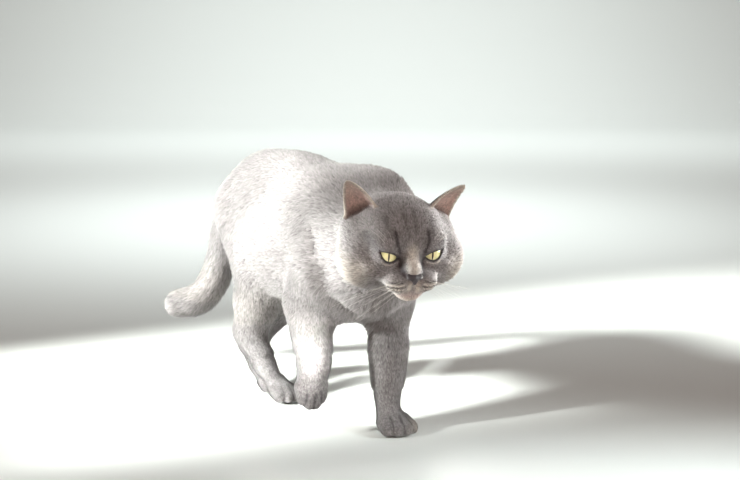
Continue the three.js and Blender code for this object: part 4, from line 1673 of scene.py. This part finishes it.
@dataclass(frozen=True)
class Globe:
    """One eye: a ball with a rounder cornea, which looks a little to the cat's right."""

    side: Side
    gaze: Point = (-0.13, -0.98, 0.10)
    cornea: float = 0.8
    rings: int = 48
    segments: int = 72
    cornea_reach: float = 0.72  # radians from the pupil
    ring_bunching: float = 1.25  # above 1, the rings stand closer together at the pupil

    def build(self, material: bpy.types.Material) -> bpy.types.Object:
        """Makes the ball, with its pole at the pupil and its own place measured from there.

        Args:
            material: The eye's finish.

        Returns:
            The globe, with each point's place across and up from the pupil as its attribute gaze.
        """
        look = unit(np.array(self.gaze))
        across = unit(np.cross(look, [0, 0, 1.0]))
        up = np.cross(across, look)
        points, gaze = [EYE_RADIUS * look + self.cornea * look], [(0.0, 0.0, 0.0)]
        for ring in range(1, self.rings):
            angle = math.pi * (ring / self.rings) ** self.ring_bunching
            radius = EYE_RADIUS + self.cornea * math.exp(-((angle / self.cornea_reach) ** 4))
            reach = EYE_RADIUS * min(angle, math.pi / 2)
            for step in range(self.segments):
                turn = 2 * math.pi * step / self.segments
                flat = math.cos(turn) * across + math.sin(turn) * up
                points.append(radius * (math.cos(angle) * look + math.sin(angle) * flat))
                gaze.append((reach * math.cos(turn), reach * math.sin(turn), 0.0))
        points.append(-EYE_RADIUS * look)
        gaze.append((EYE_RADIUS * 2, 0.0, 0.0))
        triangles = []
        back = len(points) - 1
        last_ring = back - self.segments
        for step in range(self.segments):
            after = (step + 1) % self.segments
            triangles.append((0, 1 + step, 1 + after))
            triangles.append((last_ring + step, back, last_ring + after))
            for ring in range(self.rings - 2):
                a = 1 + ring * self.segments
                b = a + self.segments
                triangles.append((a + step, b + step, b + after))
                triangles.append((a + step, b + after, a + after))
        local = np.array(points) + np.array(eye_place(self.side))
        piece = new_mesh_object(f"globe_{self.side.word}", HEAD.world(local), np.array(triangles))
        put_attribute(piece.data, "gaze", np.array(gaze))
        piece.data.materials.append(material)
        return piece


def tube(points: Array, radii: Array, sides: int, closed: bool) -> tuple[Array, Array]:
    """Makes a round tube along points.

    Args:
        points: The tube's middle line.
        radii: Its radius at each point.
        sides: How many corners it has round it.
        closed: Whether the line is a loop.

    Returns:
        The tube's points and its four-cornered faces.
    """
    count = len(points)
    ahead = np.roll(points, -1, 0) - np.roll(points, 1, 0)
    if not closed:
        ahead[0] = points[1] - points[0]
        ahead[-1] = points[-1] - points[-2]
    ahead = unit(ahead)
    first = unit(np.cross(ahead, [0.31, 0.17, 0.93]))  # no rim or whisker runs along this direction
    second = np.cross(ahead, first)
    turn = 2 * np.pi * np.arange(sides) / sides
    ring = first[:, None] * np.cos(turn)[None, :, None] + second[:, None] * np.sin(turn)[None, :, None]
    skin = (points[:, None] + ring * radii[:, None, None]).reshape(-1, 3)
    faces = []
    for i in range(count if closed else count - 1):
        j = (i + 1) % count
        for k in range(sides):
            n = (k + 1) % sides
            faces.append((i * sides + k, i * sides + n, j * sides + n, j * sides + k))
    return skin, np.array(faces)


@dataclass(frozen=True)
class LidRims:
    """The dark bare edge of the lids round each eye."""

    thin: float = 0.42
    thick: float = 0.85
    stand_off: float = 0.7
    count: int = 120

    def radii(self) -> Array:
        """Makes the rim thickest at the inner corner and below, and thin above.

        Returns:
            The rim's radius at each of its points.
        """
        t = np.linspace(-1, 1, self.count // 2, endpoint=False)
        inner = np.concatenate([smooth_step(-t, 0.35, 1.0), smooth_step(t, 0.2, 1.0)])
        below = np.concatenate([0 * t, 0.35 * (1 - t**2)])
        return self.thin + (self.thick - self.thin) * np.clip(inner + below, 0, 1)

    def build(self, material: bpy.types.Material) -> bpy.types.Object:
        """Makes a rim along each opening.

        Args:
            material: The rims' finish.

        Returns:
            Both rims, as one piece.
        """
        points, faces, total = [], [], 0
        for side in Side:
            line = HEAD.world(OPENING.edge(side, self.count, EYE_RADIUS + self.stand_off))
            skin, quads = tube(line, self.radii(), 8, True)
            points.append(skin)
            faces.append(quads + total)
            total += len(skin)
        piece = new_mesh_object("lid_rims", np.concatenate(points), np.concatenate(faces))
        piece.data.materials.append(material)
        return piece


@dataclass(frozen=True)
class NoseLeather:
    """The nose's bare leather: broad above, narrow at the lip, with two comma nostrils."""

    cell: float = 0.45
    wing_blend: float = 1.8
    nostril_round: float = 0.6

    def field(self, q: Array) -> Array:
        """Gives the distance to the leather.

        Args:
            q: Points in the head's frame.

        Returns:
            One distance for each point.
        """
        wings = [ellipsoid(q, (side.value * 4.5, -54.5, -11.8), (3.7, 3.5, 2.4)) for side in Side]
        body = smooth_union(
            [
                ellipsoid(q, (0, -55.4, -12.4), (4.0, 3.8, 3.6)),  # tip
                *wings,
                limb(q, (-5.4, -53.0, -10.2), (5.4, -53.0, -10.2), 1.8, 1.8),  # upper edge
                ellipsoid(q, (0, -55.6, -15.6), (1.9, 2.6, 3.2)),  # down to the lip
            ],
            self.wing_blend,
        )
        for side in Side:
            s = side.value
            hole = limb(q, (s * 3.4, -58.6, -13.4), (s * 4.6, -54.6, -13.0), 1.15, 1.0)
            slit = limb(q, (s * 4.4, -58.0, -13.9), (s * 8.0, -55.0, -14.3), 0.75, 0.5)
            nostril = smooth_min(hole, slit, self.nostril_round)
            body = smooth_max(body, -nostril, self.nostril_round)
        groove = limb(q, (0, -59.6, -11.5), (0, -58.6, -18.5), 0.55, 0.6)
        return smooth_max(body, -groove, self.nostril_round)

    def build(self, material: bpy.types.Material) -> bpy.types.Object:
        """Makes the leather's mesh.

        Args:
            material: The leather's finish.

        Returns:
            The leather.
        """
        low, high = np.array([-11.0, -62.0, -22.0]), np.array([11.0, -47.0, -6.0])
        lines = [np.arange(a, b, self.cell) for a, b in zip(low, high)]
        points, quads = surface(self.field(crossings(lines)), lines)
        piece = new_mesh_object("nose_leather", HEAD.world(points), quads)
        piece.data.materials.append(material)
        return piece


@dataclass(frozen=True)
class Whiskers:
    """Stiff white whiskers on the lips and above the eyes, thick at the root and fine at the tip."""

    root_radius: float = 0.14
    tip_radius: float = 0.04
    steps: int = 12
    sides: int = 5
    seed: int = 5
    # each row's height and number
    rows: tuple[tuple[float, int], ...] = ((-16.0, 1), (-18.8, 3), (-22.0, 4), (-25.0, 2))
    above_eye: int = 3

    def build(self, material: bpy.types.Material) -> bpy.types.Object:
        """Makes every whisker, as one piece.

        Args:
            material: The whiskers' finish.

        Returns:
            The whiskers.
        """
        dice = np.random.default_rng(self.seed)
        points, faces, total = [], [], 0
        for side in Side:
            for root, way, length, sag in self.plan(side, dice):
                t = np.linspace(0, 1, self.steps)[:, None]
                line = np.array(root) + t * length * unit(np.array(way)) + t**2 * np.array(sag)
                radii = self.root_radius + (self.tip_radius - self.root_radius) * t[:, 0] ** 0.8
                skin, quads = tube(HEAD.world(line), radii, self.sides, False)
                points.append(skin)
                faces.append(quads + total)
                total += len(skin)
        piece = new_mesh_object("whiskers", np.concatenate(points), np.concatenate(faces))
        piece.data.materials.append(material)
        return piece

    def plan(self, side: Side, dice: np.random.Generator) -> list[tuple]:
        """Plans the whiskers of one side.

        Args:
            side: Which side of the head.
            dice: The source of random numbers.

        Returns:
            Each whisker's root, direction, length and sag in the head's frame.
        """
        s = side.value
        hairs = []
        for row, (z, count) in enumerate(self.rows):
            for place in range(count):
                x = 12.0 + 3.2 * place + (0.8 * row) % 2
                y = -54.5 + 0.035 * (x - 9) ** 2
                tilt = -0.10 - 0.16 * row + 0.03 * place
                way = (s * (0.9 + 0.1 * dice.random()), -0.42 + 0.17 * place, tilt + 0.08 * dice.random())
                length = 34 + 18 * dice.random() + 3 * min(place, 3)
                sag = (s * -3, 10 + 8 * dice.random(), -7 - 8 * dice.random())
                hairs.append(((s * x, y, z), way, length, sag))
        for place in range(self.above_eye):
            root = (s * (20 + 3.2 * place), -37.0, 15.0 + 0.6 * place)
            way = (s * (0.15 + 0.2 * place), -0.55, 0.95)
            hairs.append((root, way, 24 + 8 * dice.random(), (s * 6, 9, -4)))
        return hairs


# ---------------------------------------------------------------- finishes


def new_finish(name: str) -> tuple[bpy.types.Material, bpy.types.NodeTree, bpy.types.ShaderNode]:
    """Makes a material with nothing set.

    Args:
        name: The material's name.

    Returns:
        The material, its tree and its main shader.
    """
    material = bpy.data.materials.new(name)
    material.use_nodes = True
    return material, material.node_tree, material.node_tree.nodes["Principled BSDF"]


@dataclass(frozen=True)
class BluePlush:
    """Cat hair: the dense blue-grey plush of the breed, silvered at its tips.

    It gives the eye a matt, speckled blue-grey that pales along each lock and glows at its edges
    against the light. A hair is about 0.05 mm thick, too fine to show, so each lock has one tone and
    the streaks between the locks are drawn nearly 1 mm wide.
    """

    name: str
    root: str = "#6e696c"
    tip: str = "#9b9696"
    # the marks' colours: dark also serves painted shade in creases and hollows, pale also serves painted
    # light on the cheeks and backlit ears, and the pink of the lip and ears is lightened as painted light
    # shining through the thin ears
    dark: str = "#332d31"
    pale: str = "#d6cdc3"
    pink: str = "#f2d6cd"
    pad: str = "#57525a"
    speckle: float = 0.34
    patch_mm: float = 22.0
    streak_mm: float = 0.9
    relief_mm: float = 0.4
    roughness: float = 0.62
    sheen: float = 0.35
    has_locks: bool = True

    def build(self) -> bpy.types.Material:
        """Makes the fur, for the locks or for the skin beneath them.

        Returns:
            The material.
        """
        material, tree, shader = new_finish(self.name)
        names = ["pale", "pink", "dark"] + (["along", "tone"] if self.has_locks else ["bare"])
        read = {name: add_node(tree, ATTRIBUTE, attribute_name=name).outputs["Fac"] for name in names}
        place = add_node(tree, PLACES).outputs["Object"]

        # silvered tips, then the marks with their painted shade and light
        colour = linear(self.root)
        for share, over in (
            (read.get("along", 0.25), self.tip),
            (read["pale"], self.pale),
            (read["pink"], self.pink),
            (read["dark"], self.dark),
        ):
            layers = {0: share, 6: colour, 7: linear(over)}
            colour = add_node(tree, MIX, layers, data_type="RGBA").outputs[2]

        # each lock's own tone, and a slow drift over the body
        patch = add_node(tree, NOISE, {"Vector": place, "Scale": 1 / (self.patch_mm * MM), "Detail": 3.0})
        streaks = add_node(tree, NOISE, {"Vector": place, "Scale": 1 / (self.streak_mm * MM), "Detail": 2.0})
        tone = read["tone"] if self.has_locks else streaks.outputs[0]
        lightness = add_node(
            tree, MAP_RANGE, {"Value": tone, "To Min": 1 - self.speckle, "To Max": 1 + self.speckle * 0.8}
        )
        drift = add_node(
            tree,
            MAP_RANGE,
            {"Value": patch.outputs[0], "From Min": 0.3, "From Max": 0.7, "To Min": 0.93, "To Max": 1.07},
        )
        value = add_node(tree, MATH, {0: lightness, 1: drift}, operation="MULTIPLY")
        colour = add_node(tree, "ShaderNodeHueSaturation", {"Color": colour, "Value": value}).outputs[0]
        if not self.has_locks:
            layers = {0: read["bare"], 6: colour, 7: linear(self.pad)}
            colour = add_node(tree, MIX, layers, data_type="RGBA").outputs[2]
            bump = add_node(
                tree,
                "ShaderNodeBump",
                {"Strength": 0.5, "Distance": self.relief_mm * MM, "Height": streaks.outputs[0]},
            )
            tree.links.new(bump.outputs[0], shader.inputs["Normal"])
        tree.links.new(colour, shader.inputs["Base Color"])
        shader.inputs["Roughness"].default_value = self.roughness
        shader.inputs["Specular IOR Level"].default_value = 0.28
        shader.inputs["Sheen Weight"].default_value = self.sheen
        shader.inputs["Sheen Roughness"].default_value = 0.45
        return material


@dataclass(frozen=True)
class LivingEye:
    """A cat's eye: a clear wet cornea over a pale gold iris with a green ring and a slit pupil.

    It gives the eye a glassy highlight over a matt, finely rayed gold. The iris's fibres are about
    0.1 mm wide, too fine to show, and are drawn nearly 0.5 mm wide.
    """

    gold: str = "#f1e8b0"
    green: str = "#c4c083"
    edge: str = "#4a4326"
    fibre: str = "#f7f0cc"
    white: str = "#8d8273"
    pupil: str = "#060505"
    iris_mm: float = 9.0
    slit_mm: float = 0.75
    slit_height_mm: float = 6.2
    slit_edge_mm: float = 0.12
    rays: float = 13.0  # the noise's cells along the radius of the circle that it is read on

    def build(self) -> bpy.types.Material:
        """Makes the eye from each point's own distance across and up from the pupil.

        Returns:
            The material.
        """
        material, tree, shader = new_finish("wet cornea over iris")
        gaze = add_node(tree, ATTRIBUTE, attribute_name="gaze").outputs["Vector"]
        across, height, _ = add_node(tree, "ShaderNodeSeparateXYZ", {0: gaze}).outputs
        radius = add_node(tree, VECTOR_MATH, {0: gaze}, operation="LENGTH").outputs["Value"]

        # fibres that run out from the pupil: noise read round a circle
        turn = add_node(tree, MATH, {0: height, 1: across}, operation="ARCTAN2")
        sine = add_node(tree, MATH, {0: turn}, operation="SINE")
        cosine = add_node(tree, MATH, {0: turn}, operation="COSINE")
        circle = add_node(tree, "ShaderNodeCombineXYZ", {0: sine, 1: cosine, 2: 0.2})
        fibres = add_node(
            tree, NOISE, {"Vector": circle, "Scale": self.rays, "Detail": 4.0, "Distortion": 0.4}
        ).outputs[0]

        # how far inside the slit each point is: its half-width less the distance from its middle
        part = add_node(tree, MATH, {0: height, 1: self.slit_height_mm}, operation="DIVIDE")
        square = add_node(tree, MATH, {0: part, 1: 2.0}, operation="POWER")
        bow = add_node(tree, MATH, {0: 1.0, 1: square}, operation="SUBTRACT")
        half = add_node(tree, MATH, {0: bow, 1: self.slit_mm}, operation="MULTIPLY")
        off = add_node(tree, MATH, {0: across}, operation="ABSOLUTE")
        inside = add_node(tree, MATH, {0: half, 1: off}, operation="SUBTRACT").outputs[0]

        colour = linear(self.gold)
        for value, low, high, strength, over in (
            (radius, 2.0, self.iris_mm - 1.0, 1.0, self.green),
            (fibres, 0.48, 0.72, 0.6, self.fibre),
            (fibres, 0.45, 0.25, 0.35, self.edge),
            (radius, self.iris_mm - 1.3, self.iris_mm, 1.0, self.edge),
            (radius, self.iris_mm, self.iris_mm + 0.5, 1.0, self.white),
            (inside, -self.slit_edge_mm, self.slit_edge_mm, 1.0, self.pupil),
        ):
            share = add_node(
                tree,
                MAP_RANGE,
                {"Value": value, "From Min": low, "From Max": high, "To Max": strength},
                interpolation_type="SMOOTHSTEP",
            )
            layers = {0: share, 6: colour, 7: linear(over)}
            colour = add_node(tree, MIX, layers, data_type="RGBA").outputs[2]
        tree.links.new(colour, shader.inputs["Base Color"])
        shader.inputs["Roughness"].default_value = 0.32
        shader.inputs["IOR"].default_value = 1.376
        shader.inputs["Coat Weight"].default_value = 1.0
        shader.inputs["Coat Roughness"].default_value = 0.03
        return material


@dataclass(frozen=True)
class BareSkin:
    """Bare slate skin: the lids' wet edge, or the nose's fine-grained leather.

    It gives the eye a nearly black slate, pebbled on the nose, with a soft wet shine.
    """

    name: str
    colour: str
    hollow: str
    grain_mm: float
    roughness: float
    wetness: float
    relief: float
    cloud_mm: float = 3.85
    pebble_height_mm: float = 0.2

    def build(self) -> bpy.types.Material:
        """Makes the skin with its pebbled grain.

        Returns:
            The material.
        """
        material, tree, shader = new_finish(self.name)
        place = add_node(tree, PLACES).outputs["Object"]
        grain = add_node(
            tree, "ShaderNodeTexVoronoi", {"Vector": place, "Scale": 1 / (self.grain_mm * MM)}
        ).outputs["Distance"]
        cloud = add_node(tree, NOISE, {"Vector": place, "Scale": 1 / (self.cloud_mm * MM), "Detail": 3.0})
        layers = {0: cloud.outputs[0], 6: linear(self.hollow), 7: linear(self.colour)}
        colour = add_node(tree, MIX, layers, data_type="RGBA").outputs[2]
        rough = add_node(
            tree,
            MAP_RANGE,
            {"Value": grain, "To Min": self.roughness - 0.08, "To Max": self.roughness + 0.10},
        )
        bump = add_node(
            tree,
            "ShaderNodeBump",
            {"Strength": self.relief, "Distance": self.pebble_height_mm * MM, "Height": grain},
        )
        tree.links.new(colour, shader.inputs["Base Color"])
        tree.links.new(rough.outputs[0], shader.inputs["Roughness"])
        tree.links.new(bump.outputs[0], shader.inputs["Normal"])
        shader.inputs["Coat Weight"].default_value = self.wetness
        shader.inputs["Coat Roughness"].default_value = 0.2
        return material


@dataclass(frozen=True)
class WhiskerHair:
    """Whisker keratin: stiff, smooth and white, a little darker here and there.

    It gives the eye fine bright lines that catch the lamps.
    """

    pale: str = "#f4f1ea"
    shade: str = "#cfcac4"
    shade_mm: float = 8.3

    def build(self) -> bpy.types.Material:
        """Makes the keratin.

        Returns:
            The material.
        """
        material, tree, shader = new_finish("whisker keratin")
        place = add_node(tree, PLACES).outputs["Object"]
        noise = add_node(tree, NOISE, {"Vector": place, "Scale": 1 / (self.shade_mm * MM)})
        layers = {0: noise.outputs[0], 6: linear(self.shade), 7: linear(self.pale)}
        colour = add_node(tree, MIX, layers, data_type="RGBA").outputs[2]
        tree.links.new(colour, shader.inputs["Base Color"])
        shader.inputs["Roughness"].default_value = 0.35
        return material


LID_EDGE = BareSkin(
    "wet lid edge", "#2a2426", "#171314", grain_mm=0.5, roughness=0.35, wetness=0.5, relief=0.2
)
NOSE_LEATHER = BareSkin(
    "nose leather", "#3f373b", "#2a2428", grain_mm=0.55, roughness=0.5, wetness=0.12, relief=0.6
)


# ---------------------------------------------------------------- stage, light and camera


VIEW_AZIMUTH = -25.0  # degrees that the camera looks to the right of the cat's +y


@dataclass(frozen=True)
class Softbox:
    """A square lamp behind a grid, which keeps its light within a cone."""

    name: str
    place: Point
    aim: Point
    size: float
    watts: float
    colour: str
    cone: float = 180.0

    def build(self) -> None:
        """Hangs the lamp so that it faces its aim."""
        data = bpy.data.lights.new(self.name, "AREA")
        data.size = self.size
        data.energy = self.watts
        data.color = linear(self.colour)[:3]
        data.spread = math.radians(self.cone)
        lamp = bpy.data.objects.new(self.name, data)
        bpy.context.scene.collection.objects.link(lamp)
        lamp.location = self.place
        lamp.rotation_euler = (Vector(self.aim) - Vector(self.place)).to_track_quat("-Z", "Y").to_euler()


@dataclass(frozen=True)
class Studio:
    """A plain pale sweep under gridded lamps, with an even fill from all round.

    The key lights the right flank, and narrow lamps the raised foreleg and the edges of the face.
    The washes light only the floor and the backdrop.
    """

    floor_colour: str = "#dcdedc"
    air_colour: str = "#f5e8e1"
    air_strength: float = 0.31
    half_width: float = 6.0
    near: float = -4.0
    depth: float = 5.0
    bend: float = 1.2
    height: float = 6.0
    patch_mm: float = 333.0
    lamps: tuple[Softbox, ...] = (
        Softbox("key", (-1.08, 0.06, 0.62), (0.0, 0.175, 0.16), 0.58, 5.2, "#fbfffa", 11.0),
        Softbox("foreleg", (-0.75, -0.90, 0.35), (-0.055, -0.135, 0.09), 0.04, 0.055, "#fbfffa", 4.5),
        Softbox("right cheek", (-0.93, 0.02, 0.27), (-0.06, -0.205, 0.175), 0.12, 0.28, "#fbfffa", 9.0),
        Softbox("left cheek", (1.04, -0.20, 0.30), (0.055, -0.25, 0.19), 0.2, 0.42, "#fffdf8", 13.0),
        Softbox("halo", (0.25, 0.35, 1.2), (-0.005, -0.23, 0.25), 0.2, 0.09, "#fffdf8", 11.0),
        Softbox("bounce", (-0.25, -0.85, 0.03), (0.0, -0.2, 0.15), 0.3, 0.10, "#ffd2b4", 60.0),
        Softbox("front", (-0.5, -2.6, 1.3), (0.0, 0.0, 0.15), 1.6, 8.5, "#ffd8c2"),
        Softbox("front wash", (0.95, -1.15, 0.75), (0.16, -0.55, 0.0), 0.3, 2.0, "#eef7f6", 34.0),
        Softbox("floor wash", (0.68, 1.45, 1.9), (0.70, 1.5, 0.0), 1.4, 14.0, "#eef7f6", 74.0),
        Softbox("wall wash", (1.7, 3.3, 2.6), (2.05, 4.4, 0.0), 2.4, 58.0, "#eef7f6", 120.0),
    )

    def build(self) -> None:
        """Builds the sweep of the floor into the backdrop, the lamps and the air's even light."""
        azimuth = math.radians(VIEW_AZIMUTH)
        towards = np.array([-math.sin(azimuth), math.cos(azimuth)])
        across = np.array([towards[1], -towards[0]])
        rise = np.linspace(0, math.pi / 2, 9)
        curve = [(self.depth + self.bend * math.sin(a), self.bend * (1 - math.cos(a))) for a in rise]
        profile = [(self.near, 0.0), *curve, (self.depth + self.bend, self.height)]
        points = []
        for along, height in profile:
            for w in (-self.half_width, self.half_width):
                x, y = along * towards + w * across
                points.append((x, y, height))
        count = len(profile)
        faces = [(2 * i, 2 * i + 1, 2 * i + 3, 2 * i + 2) for i in range(count - 1)]
        sweep = new_mesh_object("floor", np.array(points) / MM, np.array(faces))
        sweep.data.materials.append(self.paint())
        for lamp in self.lamps:
            lamp.build()
        world = bpy.data.worlds.new("studio air")
        bpy.context.scene.world = world
        world.use_nodes = True
        air = world.node_tree.nodes["Background"]
        air.inputs[0].default_value = linear(self.air_colour)
        air.inputs[1].default_value = self.air_strength
        bpy.context.scene.view_settings.view_transform = "Standard"

    def paint(self) -> bpy.types.Material:
        """Makes matt studio paint: rolled on, it gives the eye an even, shineless white.

        Returns:
            The material, whose roughness drifts a little from one roller's patch to the next.
        """
        material, tree, shader = new_finish("matt studio paint")
        place = add_node(tree, PLACES).outputs["Object"]
        noise = add_node(tree, NOISE, {"Vector": place, "Scale": 1 / (self.patch_mm * MM)})
        rough = add_node(tree, MAP_RANGE, {"Value": noise.outputs[0], "To Min": 0.82, "To Max": 0.92})
        tree.links.new(rough.outputs[0], shader.inputs["Roughness"])
        shader.inputs["Base Color"].default_value = linear(self.floor_colour)
        return material


@dataclass(frozen=True)
class Viewpoint:
    """A long lens just above the cat's back, before its right shoulder."""

    place: Point = (-665.9, -1486.4, 420.0)
    pitch: float = 7.67
    focal_px: float = 1560.0
    frame_px: float = 740.0
    sensor: float = 36.0

    def build(self) -> None:
        """Makes the camera and gives it to the scene."""
        data = bpy.data.cameras.new("camera")
        data.sensor_width = self.sensor
        data.lens = self.focal_px / self.frame_px * self.sensor
        camera = bpy.data.objects.new("camera", data)
        bpy.context.scene.collection.objects.link(camera)
        camera.location = Vector(placed(*self.place)) * MM
        camera.rotation_euler = (math.radians(90 - self.pitch), 0, math.radians(VIEW_AZIMUTH))
        bpy.context.scene.camera = camera


def settle(piece: bpy.types.Object, slot: str, *stands_for: str) -> None:
    """Lets a piece ride with the cat, hides the solids it stands for, and logs its number of faces.

    Args:
        piece: The piece.
        slot: Its material slot. Not used.
        *stands_for: The solids that it stands for.
    """
    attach(piece, ROOT)
    if stands_for:
        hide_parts(*stands_for)
    LOG.info("%s: %d faces", piece.name, len(piece.data.polygons))


def main() -> None:
    """Builds the cat from the skin outwards, then its studio."""
    logging.basicConfig(level=logging.INFO, format="%(message)s")
    Viewpoint().build()
    Studio().build()
    skin = Skin().build()
    flesh = [name for name in frame["nodes"] if name not in ("eye_left", "eye_right", "nose")]
    for piece in Tufts().build(skin, BluePlush("cat hair").build()):
        settle(piece, "coat")
    skin.data.materials.append(BluePlush("short cat hair on skin", has_locks=False).build())
    skin.data.uv_layers["unwrap"].name = "OFBake"
    settle(skin, "coat", *flesh)
    living = LivingEye().build()
    for side in Side:
        settle(Globe(side).build(living), "eye", f"eye_{side.word}")
    settle(LidRims().build(LID_EDGE.build()), "nose_leather")
    settle(NoseLeather().build(NOSE_LEATHER.build()), "nose_leather", "nose")
    settle(Whiskers().build(WhiskerHair().build()), "coat")


if __name__ == "__main__":
    main()
